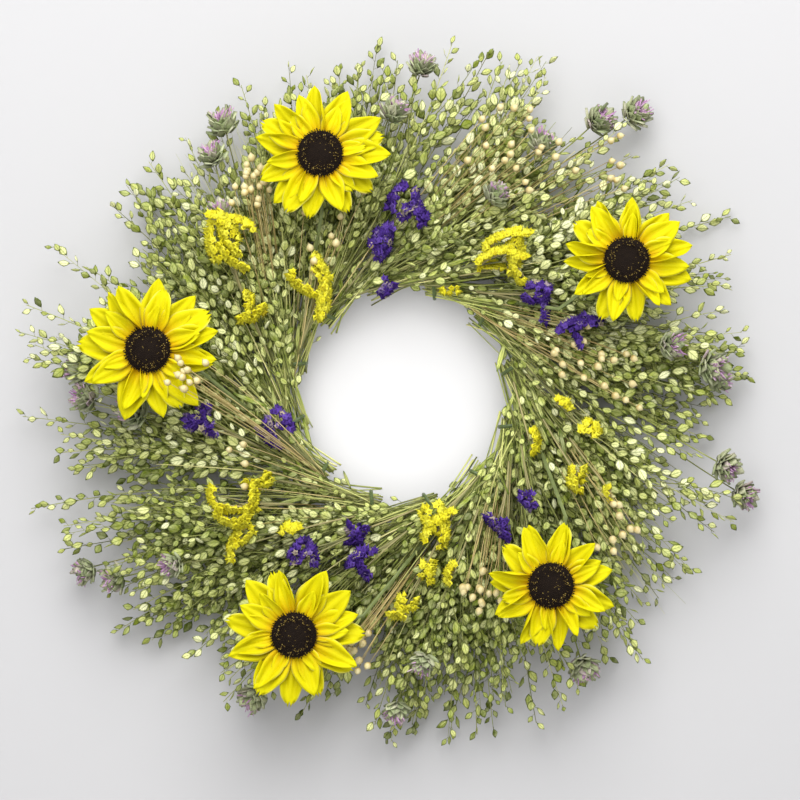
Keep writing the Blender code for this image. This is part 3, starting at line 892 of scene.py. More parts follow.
# %% Model the pod
pod = start("pod", bpy.ops.mesh.primitive_uv_sphere_add, segments=8, ring_count=4, radius=1)
pull(pod, lambda p: abs(p.z) > 0.1, resize=(0.80, 0.80, 0.17))
pull(pod, lambda p: p.y > 0.9, move=(0, 0.26, 0))
pull(pod, lambda p: p.y < -0.9, move=(0, -0.16, 0))
pull(pod, lambda p: 0.5 < p.y < 0.9 and abs(p.z) < 0.01, resize=(0.86, 1, 1))
pull(pod, lambda p: -0.9 < p.y < -0.5 and abs(p.z) < 0.01, resize=(0.80, 1, 1))
shape_by(pod, lambda p: Vector((p.x * 0.84 + 0.08 * p.y * p.y, p.y + 1.16, p.z + 0.10 * (p.y - 0.1) ** 2)))
POD_LENGTH = 2.42               # as modelled, before a pod gets its size
pod_template = Template(pod)
print("pod", len(pod_template.points), "vertices")

# %% [markdown]
# ## The narrow dried leaf
# A few narrow leaves stay on the stems and curl up as they dry.  One is a grid, drawn to a point at
# both ends and curled by a formula, with its thickness from Solidify.

# %% Model the narrow dried leaf
blade = start("blade", bpy.ops.mesh.primitive_grid_add, x_subdivisions=2, y_subdivisions=6, size=2)


def blade_rule(p):
    """Narrow, pointed at both ends, folded along its middle and curled."""
    v = (p.y + 1) / 2
    across = p.x * 0.065 * math.sin(math.pi * (0.06 + 0.90 * v)) ** 0.7
    curl = 1.3 * (v - 0.3)
    rise = across * math.sin(curl) + 0.12 * v * v + 0.03 * abs(p.x)
    return Vector((across * math.cos(curl), v, rise))


shape_by(blade, blade_rule)
apply_modifier(blade, "SOLIDIFY", thickness=0.010, offset=0.0)
blade_template = Template(blade)
print("blade", len(blade_template.points), "vertices")

# %% [markdown]
# ## Laying out a bunch
# A bunch is tied at its clamp.  Its stems leave nearly along the ring, clockwise, and curve gently
# outwards to tips that lie on the wreath's ragged outline.  Each stem carries its pods near the end
# and on a few side branches, on hair-thin stalks set round it in a spiral, smaller towards the tip.

# %% Rules for a bunch
WHOLE_TURN = 6.28               # radians, for the random start of a spiral
STEM_POINTS = 12                # points along one long stem
rng = np.random.default_rng(31)
GOLDEN = math.pi * (3 - math.sqrt(5))
OVERHANG = 8 * MM               # the longest stems end this far past the frame's plain bunch
TRIMMED = {2: -6, 3: 12, 6: 13, 9: 6, 10: 6, 12: 4}     # how many millimetres shorter a bunch is cut
FRONT = np.array((0.0, -1.0, 0.0))
CENTRE = np.array((RING_CENTRE.x, 0.0, RING_CENTRE.z))


def flat_direction(angle):
    return np.array((math.cos(angle), 0.0, math.sin(angle)))


def stem_angle(place):
    """The way the stems run at a place: nearly along the ring close to it, radial far out."""
    x = place[0] - CENTRE[0]
    z = place[2] - CENTRE[2]
    off_radial = math.asin(min(1.0, 0.94 * RING_RADIUS / math.hypot(x, z)))
    return math.atan2(z, x) - off_radial


def bunch_reach(index):
    """The farthest that the frame's solid for a bunch reaches from the ring's centre."""
    points = np.array([v.co for v in frame["nodes"][f"bunch_{index}"].data.vertices])
    return np.linalg.norm((points - CENTRE)[:, [0, 2]], axis=1).max()


def curve_between(root, knee, tip, steps):
    t = np.linspace(0, 1, steps)[:, None]
    return (1 - t) ** 2 * root + 2 * t * (1 - t) * knee + t**2 * tip


def stem_path(clamp, lay, reach, layer, lean_in=0.0):
    """From the tied waist to a tip at a distance from the ring's centre.

    lay is the stem's angle off the ring's radius, and layer runs from 0 at the back to 1 in front.
    """
    turn = math.atan2(clamp[2] - CENTRE[2], clamp[0] - CENTRE[0])
    length = -RING_RADIUS * math.cos(lay) + math.sqrt(reach**2 - (RING_RADIUS * math.sin(lay)) ** 2)
    foot = np.array((clamp[0], 0.0, clamp[2]))
    spot = rng.normal(0, 0.33, 2)
    inward = flat_direction(turn - lay - math.pi / 2)
    root_depth = (19 + 9 * (2 * layer - 1) + 2 * spot[1]) * MM
    root = foot + inward * (spot[0] * 9 * MM + lean_in) + FRONT * root_depth
    bow = math.radians(rng.uniform(2, 13))
    outwardness = length / 0.2
    knee_depth = WALL_GAP + 4 * MM + layer * (FOLIAGE_FRONT - WALL_GAP - 8 * MM)
    tip_depth = WALL_GAP + 3 * MM + layer * (FOLIAGE_FRONT - 16 * MM - 12 * MM * outwardness)
    knee = foot + flat_direction(turn - lay - bow) * 0.5 * length + FRONT * knee_depth
    tip = foot + flat_direction(turn - lay) * length + FRONT * tip_depth
    path = curve_between(root, knee, tip, STEM_POINTS - 1)
    tail = root - unit(path[1] - path[0]) * rng.uniform(2, 6) * MM
    return np.vstack([tail, path])


def keep_clear(points, spare=0.0):
    """Leave room at the wall, round the hanging loop and behind the sunflowers."""
    points[..., 1] = np.clip(points[..., 1], -FOLIAGE_FRONT - 2 * MM, -WALL_GAP - spare)
    near_loop = (np.abs(points[..., 0]) < 17 * MM) & (points[..., 2] > -50 * MM) & (points[..., 2] < 10 * MM)
    points[..., 1] = np.where(near_loop, np.minimum(points[..., 1], -12 * MM), points[..., 1])
    return points


print("longest bunch", round(max(bunch_reach(index) for index in BUNCHES) / MM), "mm from the middle")

# %% [markdown]
# ## Pods along a stem
# On the plant the pods stand on hair-thin stalks, each turned from the last by the golden angle, so
# that none hides another.  The same rule places them here, along any stretch of a stem.


# %% Pods along one stretch of stem
def raceme(path, spacing, biggest, tint, store):
    """Pods on thin stalks round a stretch of stem, smaller towards its tip."""
    step = np.linalg.norm(np.diff(path, axis=0), axis=1)
    gone = np.concatenate([[0], np.cumsum(step)])
    count = max(3, int(gone[-1] / spacing))
    at = (np.arange(count) + rng.uniform(0.2, 0.8, count)) / count * gone[-1]
    base = np.stack([np.interp(at, gone, path[:, k]) for k in range(3)], axis=1)
    ahead = unit(path[-1] - path[0])
    side = unit(np.cross(ahead, FRONT))
    out = np.cross(side, ahead)
    turn = GOLDEN * np.arange(count) + rng.uniform(0, WHOLE_TURN)
    around = np.cos(turn)[:, None] * side + np.sin(turn)[:, None] * out
    share = at / gone[-1]
    size = biggest * (1 - 0.36 * share**2.2) * rng.uniform(0.62, 1.20, count)
    stalk = (4.6 * MM * (1 - 0.55 * share) * rng.uniform(0.7, 1.3, count))[:, None]
    tip = base + stalk * unit(ahead * 0.75 + around)
    splay = rng.uniform(0.25, 0.95, (count, 1))
    pointing = unit(ahead * 0.95 + around * splay + rng.normal(0, 0.16, (count, 3)))
    pointing[:, 1] = np.minimum(pointing[:, 1], 0.12)
    facing = FRONT * 0.95 + around * 0.35 + rng.normal(0, 0.5, (count, 3))
    store["pod_at"].append(tip)
    width = size * rng.uniform(0.72, 1.06, count)
    sizes = np.stack([width, size, size], axis=1) / POD_LENGTH
    store["pod_frame"].append(frames_from(pointing, facing, sizes))
    store["pod_tint"].append(np.clip(tint + rng.normal(0, 0.22, count) - 0.10 * share, 0, 1))
    store["stalk"].append(np.stack([base, tip + 0.3 * MM * pointing], axis=1))
    store["stalk_tint"].append(np.clip(tint - 0.2 + rng.normal(0, 0.1, count), 0, 1))


print("pods can be planted")

# %% [markdown]
# ## The sprays of a bunch
# The sprays give a bunch its outline.  Each is a long stem with pods on its outer half, and four
# side branches with pods of their own.  Those at the back are a little darker than those in front:
# painted shade for the pods deep in the bunch.

# %% Sprays
SPRAYS = 21                     # in one bunch
BRANCHES = 4                    # on one spray


def add_branch(path, tint, store):
    """A side branch with its own pods, off the outer half of a spray."""
    node = rng.integers(4, 9)
    root = path[node]
    ahead = unit(path[node + 1] - path[node])
    side = unit(np.cross(ahead, FRONT)) * rng.choice((-1, 1)) + FRONT * rng.normal(0, 0.5)
    length = rng.uniform(34, 66) * MM
    knee = root + length * 0.5 * unit(ahead + 0.55 * side)
    tip = root + length * unit(ahead + 0.32 * side)
    branch = curve_between(root, knee, tip, 6)
    store["branch"].append(branch)
    store["branch_tint"].append(rng.uniform(0.2, 0.7))
    raceme(branch[1:], 5.4 * MM, 10.8 * MM, tint, store)


def add_sprays(clamp, reach, mood, store):
    for k in range(SPRAYS):
        lay = math.radians(np.clip(rng.normal(66, 13), 38, 96))
        layer = (k + rng.uniform(0, 1)) / SPRAYS
        far = reach * (1 - 0.55 * rng.uniform(0, 1) ** 1.6)
        path = stem_path(clamp, lay, max(far, RING_RADIUS * 1.25), layer)
        # Painted shade: sprays at the back of the bunch (low layer) get a lower tint, so their pods are
        # darker.
        tint = np.clip(mood + 0.16 * (layer - 0.5) + rng.normal(0, 0.09), 0, 1)
        store["main"].append(path)
        store["main_tint"].append(rng.uniform(0.05, 0.85))
        raceme(path[-7:], 5.2 * MM, 11.2 * MM, tint, store)
        for _ in range(BRANCHES):
            add_branch(path, tint, store)


print("sprays in all", SPRAYS * len(BUNCHES))

# %% [markdown]
# ## The other stems and the leaves
# Short stems hug the ring's inner edge, and some carry a few small pods.  Bare straws fill the
# space between the sprays, where the wreath shows its swirl.  Narrow leaves lie among them all.

# %% Inner stems, straws and leaves
INNER_STEMS = 24                # in one bunch
STRAWS = 26                     # in one bunch
LEAVES = 26                     # in one bunch


def add_inner_stems(clamp, mood, store):
    for k in range(INNER_STEMS):
        lay = math.radians(rng.uniform(84, 99))
        far = RING_RADIUS * rng.uniform(1.15, 1.75)
        layer = rng.uniform(0.3, 1)
        path = stem_path(clamp, lay, far, layer, rng.uniform(0, 11) * MM)
        store["main"].append(path)
        store["main_tint"].append(rng.uniform(0.05, 0.95))
        if k % 3 == 0:
            raceme(path[-7:], 5.5 * MM, 9.5 * MM, mood, store)
        if k % 4 == 1:
            raceme(path[3:9], 7.0 * MM, 8.0 * MM, mood - 0.05, store)


def add_straws(clamp, reach, store):
    for _ in range(STRAWS):
        lay = math.radians(np.clip(rng.normal(72, 10), 50, 98))
        far = max(rng.uniform(0.52, 0.86) * reach, RING_RADIUS * 1.2)
        store["main"].append(stem_path(clamp, lay, far, rng.uniform(0.1, 1)))
        store["main_tint"].append(rng.uniform(0.0, 1.0))


def bunch_leaves(mains, mood):
    """Narrow leaves rooted here and there on the stems, lying about along them."""
    rooted = np.array([mains[k][rng.integers(3, 8)] for k in rng.integers(0, len(mains), LEAVES)])
    ahead = np.array([flat_direction(stem_angle(place)) for place in rooted])
    leaning = unit(ahead + rng.normal(0, 0.3, (LEAVES, 3)) + FRONT * 0.15)
    leaning[:, 1] = np.minimum(leaning[:, 1], 0)
    long = rng.uniform(14, 30, LEAVES)[:, None] * MM
    facing = FRONT + rng.normal(0, 0.5, (LEAVES, 3))
    frames = frames_from(leaning, facing, np.broadcast_to(long, (LEAVES, 3)))
    tints = np.clip(rng.normal(mood - 0.2, 0.2, LEAVES), 0, 1)
    return blade_template.planted(keep_clear(rooted), frames, tints)


print("stems in all", (SPRAYS + INNER_STEMS + STRAWS) * len(BUNCHES))

# %% [markdown]
# ## Twelve bunches
# Each bunch is two pieces, its pods with its leaves, and its stems.  Together they stand for the
# frame's plain bunch.  Bunches differ a little in length and at random in colour, as bundles tied by
# hand do.  Over that lies a painted light: bunches towards the upper left are paler and those
# towards the lower right darker.


# %% Dress the bunches
def dress_bunch(index):
    clamp = np.array(clamp_place(index))
    reach = bunch_reach(index) + OVERHANG - TRIMMED.get(index, 0) * MM
    store = {name: [] for name in ("pod_at", "pod_frame", "pod_tint", "stalk", "stalk_tint")}
    store |= {name: [] for name in ("main", "main_tint", "branch", "branch_tint")}
    # Painted light: through the sine below, bunches towards the upper left are paler and those towards the
    # lower right darker; the random part is each bunch's own tone.
    turn = math.atan2(clamp[2] - CENTRE[2], clamp[0] - CENTRE[0]) - math.radians(45)
    mood = 0.56 + 0.08 * math.sin(turn) + rng.normal(0, 0.03)
    add_sprays(clamp, reach, mood, store)
    add_inner_stems(clamp, mood, store)
    add_straws(clamp, reach, store)
    leaves = bunch_leaves(store["main"], mood)
    pods = pod_template.planted(
        keep_clear(np.concatenate(store["pod_at"]), 2 * MM),
        np.concatenate(store["pod_frame"]),
        np.concatenate(store["pod_tint"]),
    )
    mains = keep_clear(np.array(store["main"]))
    thick = np.linspace(0.66, 0.24, STEM_POINTS) * MM * rng.uniform(0.6, 1.15, (len(mains), 1))
    stems = tubes(mains, thick, 5, store["main_tint"])
    branches = keep_clear(np.array(store["branch"]))
    twigs = tubes(branches, np.linspace(0.42, 0.20, 6) * MM, 4, store["branch_tint"])
    pod_stalks = keep_clear(np.concatenate(store["stalk"]))
    stalks = tubes(pod_stalks, 0.17 * MM, 3, np.concatenate(store["stalk_tint"]))
    node = f"bunch_{index}"
    grow(f"pods_{index}", [pods, leaves], POD, "wreath", [node])
    grow(f"stalks_{index}", [stems, twigs, stalks], STALK, "wreath", [node])
    return pods["copies"]


total = 0
for index in BUNCHES:
    total += dress_bunch(index)
print("pods planted", total)

# %% [markdown]
# ## Sunflower petals
# Each artificial head has layers of pressed petals: pointed ovals with lengthwise grooves, orange
# at the foot, with folded or notched tips.  A grid is shaped by a formula for its outline and
# grooves, and gets its sheet thickness from Solidify.

# %% Model the petals
def petal_half(v, blunt=0.0):
    """Half the width of a petal of unit length: broadest past its middle, then a short point."""
    width = 0.42 + 0.58 * math.sin(math.pi / 2 * min(1.0, v / 0.55))
    return 0.275 * width * (1 - (1 - blunt) * v**3.3) ** 0.88


def model_petal(name, notch, fold, curl, point, blunt):
    """A petal of unit length along Y; width, grooves and curl follow its length."""
    petal = start(name, bpy.ops.mesh.primitive_grid_add, x_subdivisions=10, y_subdivisions=14, size=2)

    def rule(p):
        v = (p.y + 1) / 2
        u = p.x
        half = petal_half(v, blunt) * (1 - 0.5 * max(0.0, v - 0.6) * point)
        half = half * (1 + 0.07 * v * math.sin(12 * v + 4 * u))
        groove = 0.048 * math.cos(u * math.pi * 2.5) * math.sin(math.pi * min(1.0, v + 0.08))
        cup = 0.05 * u * u * math.sin(math.pi * v)
        rise = curl * v * v + groove + cup + 0.022 * v * math.sin(8 * v + 3 * u)
        tip = notch * (0.5 + 0.5 * math.cos(2.5 * math.pi * u)) * max(0.0, v - 0.8)
        lap = fold * max(0.0, u - 0.35) ** 1.5 * math.sin(math.pi * v)
        return Vector((u * half * (1 - 0.9 * lap), v - tip, rise + 0.35 * lap))

    shape_by(petal, rule)
    apply_modifier(petal, "SOLIDIFY", thickness=0.010, offset=0.0)

    def leaf_map(points):
        v = np.clip(points[:, 1], 0, 1)
        half = np.array([petal_half(one) for one in v])
        across = np.clip(points[:, 0] / np.maximum(half, 0.03), -1, 1)
        return np.stack([0.5 + 0.5 * across, v], axis=1)

    return Template(petal, leaf_map)


petals = [
    model_petal("petal_plain", notch=0.0, fold=0.0, curl=-0.05, point=0.5, blunt=0.0),
    model_petal("petal_notched", notch=0.50, fold=0.2, curl=-0.10, point=0.0, blunt=0.20),
    model_petal("petal_folded", notch=0.0, fold=1.3, curl=0.04, point=0.7, blunt=0.0),
    model_petal("petal_curled", notch=0.10, fold=0.5, curl=0.11, point=1.1, blunt=0.04),
]
PETAL_SHARES = (0.35, 0.3, 0.2, 0.15)   # how often each kind is used
print("petal kinds", len(petals))

# %% [markdown]
# ## Seed disc and sepal
# The disc is a low dome covered with small florets.  The dome is a squashed ball, and a floret is a
# five-sided stub that widens a little upwards.  A sepal is a pointed blade; the bergamot's bracts,
# later on, use the same rule with other numbers.

# %% Model the floret, the dome and the sepal
DOME_RISE = 0.36                # the dome's height as a share of its radius
floret = start("floret", bpy.ops.mesh.primitive_cone_add, vertices=5, radius1=0.32, radius2=0.5, depth=1.0)
pull(floret, lambda p: p.z > 0.4, resize=(0.72, 0.72, 1))
shape_by(floret, lambda p: Vector((p.x, p.y, p.z + 0.5)))
floret_template = Template(floret)

dome = start("dome", bpy.ops.mesh.primitive_uv_sphere_add, segments=28, ring_count=14, radius=1)
pull(dome, lambda p: p.z < -0.05, resize=(1, 1, 0.25))
pull(dome, lambda p: p.z > 0.05, resize=(1, 1, DOME_RISE))
shape_by(dome, lambda p: p * (1 + 0.02 * math.sin(9 * math.hypot(p.x, p.y))))
dome_template = Template(dome)


def pointed_blade(width, foot, span, bend):
    """A rule for a grid: a blade of unit length along Y, narrower at its foot, pointed at its tip."""

    def rule(p):
        v = (p.y + 1) / 2
        return Vector((p.x * width * math.sin(math.pi * (foot + span * v)), v, bend * p.x * p.x))

    return rule


sepal = start("sepal", bpy.ops.mesh.primitive_grid_add, x_subdivisions=2, y_subdivisions=5, size=2)
shape_by(sepal, pointed_blade(0.24, 0.16, 0.80, 0.05))
apply_modifier(sepal, "SOLIDIFY", thickness=0.03, offset=0.0)
sepal_template = Template(sepal)
print("floret, dome and sepal ready")

# %% [markdown]
# ## Petals in three rings
# The real heads are stacked from die-cut layers.  Here eleven long petals lie at the back, eight
# shorter ones over them and six small ones in front.  Every petal gets its own length, slope and
# tint, and one of the four kinds.  The back ring gets higher tints, so its petals are darker:
# painted shade under the rings in front.

# %% Petals round a head
PETAL_FOOT = 10 * MM            # where petals start, from the neck's axis
# each head opened by hand to its own width
SPREAD = {"top_left": 1.0, "right": 0.96, "lower_right": 0.94, "lower_left": 1.03, "left": 1.08}
# petals, turn, then from-to: length as a share of the head's, height in mm, slope, tint
# the back ring's higher tints are painted shade under the rings in front
BACK_RING = (11, 0.0, (0.96, 1.09), (0.2, 1.2), (0.02, 0.10), (0.35, 0.9))
MIDDLE_RING = (8, 0.3, (0.82, 1.02), (1.8, 2.8), (0.05, 0.15), (0.0, 0.45))
FRONT_RING = (6, 0.1, (0.54, 0.80), (3.2, 4.0), (0.08, 0.18), (0.0, 0.25))


def spokes(count, turn, radius, lift):
    """Places round a head and their outward directions."""
    angle = 2 * math.pi * np.arange(count) / count + turn
    outward = np.stack([np.cos(angle), np.zeros(count), np.sin(angle)], axis=1)
    return outward * radius + FRONT * np.asarray(lift)[..., None], outward


def petal_ring(neck, hub, turn, reach, ring):
    """One ring of petals of mixed kinds, as planted batches."""
    count, offset, shares, heights, slopes, tint_range = ring
    lengths = rng.uniform(*shares, count) * (reach - PETAL_FOOT)
    lift = hub + rng.uniform(*heights, count) * MM
    slope = rng.uniform(*slopes, count)[:, None]
    tints = rng.uniform(*tint_range, count)
    places, outward = spokes(count, turn + offset + rng.normal(0, 0.02), PETAL_FOOT, lift)
    outward = outward + rng.normal(0, 0.075, outward.shape) * (1, 0, 1)
    along = unit(outward + FRONT * slope)
    facing = FRONT - outward * slope + rng.normal(0, 0.13, outward.shape)
    kinds = rng.choice(len(petals), count, p=PETAL_SHARES)
    batches = []
    for kind, petal in enumerate(petals):
        pick = kinds == kind
        width = lengths[pick] * rng.uniform(0.92, 1.12, pick.sum())
        sizes = np.stack([width, lengths[pick], lengths[pick]], axis=1)
        frames = frames_from(along[pick], facing[pick], sizes)
        batches.append(petal.planted(neck + places[pick], frames, tints[pick]))
    return batches


def half_width(node):
    low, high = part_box(node)
    return (high.x - low.x) / 2


def dress_petals(name, neck, turn):
    body = f"sunflower_{name}"
    hub = -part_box(f"back_petals_{name}")[1].y + neck[1]
    reach_front = half_width(f"front_petals_{name}") * SPREAD[name]
    reach_back = half_width(f"back_petals_{name}") * SPREAD[name]
    back = petal_ring(neck, hub, turn, reach_back, BACK_RING)
    grow(f"petals_back_{name}", back, PETAL, body, [f"back_petals_{name}"])
    middle = petal_ring(neck, hub, turn, reach_front, MIDDLE_RING)
    front = petal_ring(neck, hub, turn, reach_front, FRONT_RING)
    grow(f"petals_front_{name}", middle + front, PETAL, body, [f"front_petals_{name}"])


print("petals on a head", BACK_RING[0] + MIDDLE_RING[0] + FRONT_RING[0])

# %% [markdown]
# ## Seed disc and calyx round a head
# Florets sit on the dome in a golden spiral.  They are tallest in a ring, where about half are
# flecked with gold, and lean outwards at the rim.  Twelve sepals lie behind the petals, round the
# moulded calyx.

# %% Seed disc and calyx
DISC_FLORETS = 560
GOLD_RING = 0.70                # where the tall ring lies, as a share of the disc's radius
SEPALS = 12
SEPAL_LENGTH = 19 * MM
SEPAL_SLOPE = 0.08


def dress_disc(name, neck):
    radius = half_width(f"disc_{name}")
    seat = -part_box(f"disc_{name}")[0].y - DOME_RISE * radius + neck[1]
    upright = np.stack([(1, 0, 0), (0, 0, 1), FRONT], axis=-1)
    dome_batch = dome_template.planted([neck + FRONT * seat], [upright * radius * 0.97], [0.0])
    k = np.arange(DISC_FLORETS) + 0.5
    out = np.sqrt(k / DISC_FLORETS)
    outward = np.stack([np.cos(GOLDEN * k), np.zeros(DISC_FLORETS), np.sin(GOLDEN * k)], axis=1)
    flat = outward * out[:, None] * radius
    height = DOME_RISE * radius * np.sqrt(np.clip(1 - out**2 * 0.98, 0, 1))
    ring = np.exp(-(((out - GOLD_RING) / 0.10) ** 2))
    rim = np.clip((out - 0.82) / 0.15, 0, 1)
    tall = (0.8 + 1.3 * ring + 0.5 * rim) * MM * rng.uniform(0.6, 1.4, DISC_FLORETS)
    lean = flat / radius * (0.25 + 0.8 * rim)[:, None] + FRONT + rng.normal(0, 0.16, (DISC_FLORETS, 3))
    axis = unit(lean)
    side = unit(np.cross(axis, np.array((0.2, 0.3, 0.9))))
    other = np.cross(axis, side)
    wide = (0.95 + 0.2 * rim) * MM
    frames = np.stack([side * wide[:, None], other * wide[:, None], axis * tall[:, None]], axis=-1)
    flecks = (rng.uniform(0, 1, DISC_FLORETS) < 0.07 + 0.45 * ring) & (out < 0.92)
    gold = rng.uniform(0.7, 1.0, DISC_FLORETS)
    brown = rng.uniform(0, 0.5, DISC_FLORETS)
    foot = neck + flat + FRONT * (seat + height - 0.3 * MM)[:, None]
    nap = floret_template.planted(foot, frames, np.where(flecks, gold, brown))
    grow(f"seed_disc_{name}", [dome_batch, nap], FLOCK, f"sunflower_{name}", [f"disc_{name}"])


def dress_calyx(name, neck, turn):
    calyx_low, calyx_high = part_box(f"calyx_{name}")
    lift = -calyx_high.y + neck[1] + 0.55 * (calyx_high.y - calyx_low.y)
    places, outward = spokes(SEPALS, turn, 0.55 * half_width(f"calyx_{name}"), np.full(SEPALS, lift))
    along = outward + FRONT * SEPAL_SLOPE
    facing = FRONT - outward * SEPAL_SLOPE
    frames = frames_from(along, facing, np.full((SEPALS, 3), SEPAL_LENGTH))
    sepals = sepal_template.planted(neck + places, frames, rng.uniform(0, 1, SEPALS))
    grow(f"sepals_{name}", [sepals], SEPAL, f"sunflower_{name}")


for name in sorted(necks):
    neck = np.array(necks[name])
    turn = rng.uniform(0, 0.5)
    dress_petals(name, neck, turn)
    dress_disc(name, neck)
    dress_calyx(name, neck, turn)
print("sunflowers dressed", len(necks))

# %% [markdown]
# ## Statice
# Statice carries its papery funnels in one-sided combs: short curved branchlets with three rows of
# florets, a few combs to a sprig.  The funnel is a cone with a dished mouth and a frilled edge.

# %% Model the statice floret
funnel = start(
    "funnel", bpy.ops.mesh.primitive_cone_add,
    vertices=20, radius1=0.10, radius2=0.60, depth=1.0, end_fill_type="TRIFAN",
)
pull(funnel, lambda p: p.z > 0.4 and math.hypot(p.x, p.y) < 0.1, move=(0, 0, -0.60))


def frill(p):
    """Five lobes with crimped edges round the mouth; the foot stays round."""
    if p.z < 0.4:
        return Vector((p.x, p.y, p.z + 0.5))
    angle = math.atan2(p.y, p.x)
    lobe = 0.34 * math.cos(5 * angle) + 0.16 * math.cos(10 * angle)
    rise = 0.5 + 0.5 * lobe - 0.10 * math.cos(15 * angle)
    return Vector((p.x * (1 + lobe), p.y * (1 + lobe), p.z + rise))


shape_by(funnel, frill)


def round_map(points, outwards):
    """A map for a round part: how far round it each point is, and how far out or up."""
    turn = np.arctan2(points[:, 1], points[:, 0]) / (2 * math.pi)
    return np.stack([0.5 + turn, outwards], axis=1)


FUNNEL_MOUTH = 0.88             # the frilled mouth's greatest radius
funnel_template = Template(funnel, lambda p: round_map(p, np.hypot(p[:, 0], p[:, 1]) / FUNNEL_MOUTH))
print("funnel", len(funnel_template.points), "vertices")


# %% [markdown]
# ## Sprigs of statice
# A comb is a short arc with florets in three rows, all opening to the front and to the arc's outer
# side.  A sprig is a few combs about one place, on stems that run back into the bunch.

# %% Combs and sprigs
FLORET_PITCH = 1.9 * MM         # from one floret to the next along a comb


def comb(place, heading, length, bend, store):
    """Florets in three rows along a bent branchlet, all opening to one side and the front."""
    count = int(length / FLORET_PITCH)
    t = np.linspace(-0.5, 0.5, count)
    side = unit(np.cross(heading, FRONT))
    arch = 0.25 - t[:, None] ** 2
    path = place + heading * t[:, None] * length + side * (bend * length * arch)
    path = path + FRONT * 3 * MM * arch
    top = side * np.sign(bend)
    for row in (-1, 0, 1):
        foot = path + (FRONT - top * 0.5) * row * 1.5 * MM + rng.normal(0, 0.7 * MM, path.shape)
        lift = FRONT * (0.65 + 0.45 * row) + top * (1.0 - 0.3 * row)
        opening = unit(lift + heading * t[:, None] + rng.normal(0, 0.3, path.shape))
        across = unit(np.cross(opening, heading))
        other = np.cross(opening, across)
        size = rng.uniform(3.8, 5.6, count)[:, None] * MM
        store["at"].append(foot)
        store["frame"].append(np.stack([across * size * 0.75, other * size * 0.75, opening * size], axis=-1))
        store["tint"].append(np.clip(rng.normal(0.6, 0.22, count), 0, 1))
    store["path"].append(path[np.linspace(0, count - 1, 5).astype(int)])


def sprig(name, mat, groups, stands_for=()):
    """One sprig: combs about its middle, and the stems that carry them back into the bunch."""
    store = {key: [] for key in ("at", "frame", "tint", "path")}
    stems = []
    for radius, degrees, depth, half_length, combs in groups:
        middle_place = np.array(polar(radius, degrees, depth))
        lay = stem_angle(middle_place)
        for k in range(combs):
            angle = lay + rng.normal(0, 0.45) + math.pi / 2 * (k % 2) * rng.uniform(0.3, 1)
            shift = flat_direction(rng.uniform(0, WHOLE_TURN)) * half_length * 0.5 * rng.uniform(0.2, 1)
            shift = shift + FRONT * rng.uniform(-2, 3) * MM
            heading = unit(flat_direction(angle) + FRONT * rng.normal(0, 0.15))
            length = half_length * rng.uniform(0.8, 1.25)
            bend = rng.choice((-1, 1)) * rng.uniform(0.3, 0.8)
            comb(middle_place + shift, heading, length, bend, store)
            root = middle_place - flat_direction(lay) * 45 * MM - FRONT * 16 * MM
            knee = middle_place - flat_direction(lay) * 20 * MM - FRONT * 5 * MM
            stems.append(curve_between(root, knee, middle_place + shift, 7))
    florets = funnel_template.planted(
        np.concatenate(store["at"]), np.concatenate(store["frame"]), np.concatenate(store["tint"])
    )
    grow(f"florets_{name}", [florets], mat, "wreath", stands_for, smooth=False)
    ribs = tubes(np.array(store["path"]), 0.7 * MM, 5, rng.uniform(0.3, 1, len(store["path"])))
    stalks = tubes(np.array(stems), np.linspace(0.8, 0.5, 7) * MM, 5, rng.uniform(0, 0.8, len(stems)))
    grow(f"branches_{name}", [ribs, stalks], STATICE_STALK, "wreath", stands_for)
    return florets["copies"]


print("sprigs can be built")

# %% [markdown]
# ## Where the statice goes
# Eight large sprigs stand for solids of the frame and take their place and size from them.  Smaller
# ones belong to the bunches, at listed places: two colours in turn, nearer to the ring than the
# sunflowers.


# %% Plant the statice
def from_node(node, combs):
    """A sprig's place and size from its plain solid in the frame."""
    low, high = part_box(node)
    middle_place = (low + high) / 2
    x = middle_place.x - RING_CENTRE.x
    z = middle_place.z - RING_CENTRE.z
    depth = -high.y + 4 * MM
    half = max(high.x - low.x, high.z - low.z) / 2
    return (math.hypot(x, z), math.degrees(math.atan2(z, x)), depth, half, combs)


def of_bunches(rows):
    """Small sprigs, given in millimetres."""
    return [(radius * MM, angle, depth * MM, half * MM, combs) for radius, angle, depth, half, combs in rows]


YELLOW_NODES = {"upper_left": 5, "inner_left": 5, "upper_right": 4, "bottom": 5, "lower_left": 4}
PURPLE_NODES = {"top": 3, "right": 3, "left": 4}
florets = 0
for colour, paper, places in (("yellow", YELLOW_PAPER, YELLOW_NODES), ("purple", PURPLE_PAPER, PURPLE_NODES)):
    slot = f"{colour}_statice"
    for place_name, combs in places.items():
        node = f"{slot}_{place_name}"
        florets += sprig(f"{colour}_{place_name}", paper, [from_node(node, combs)], [node])

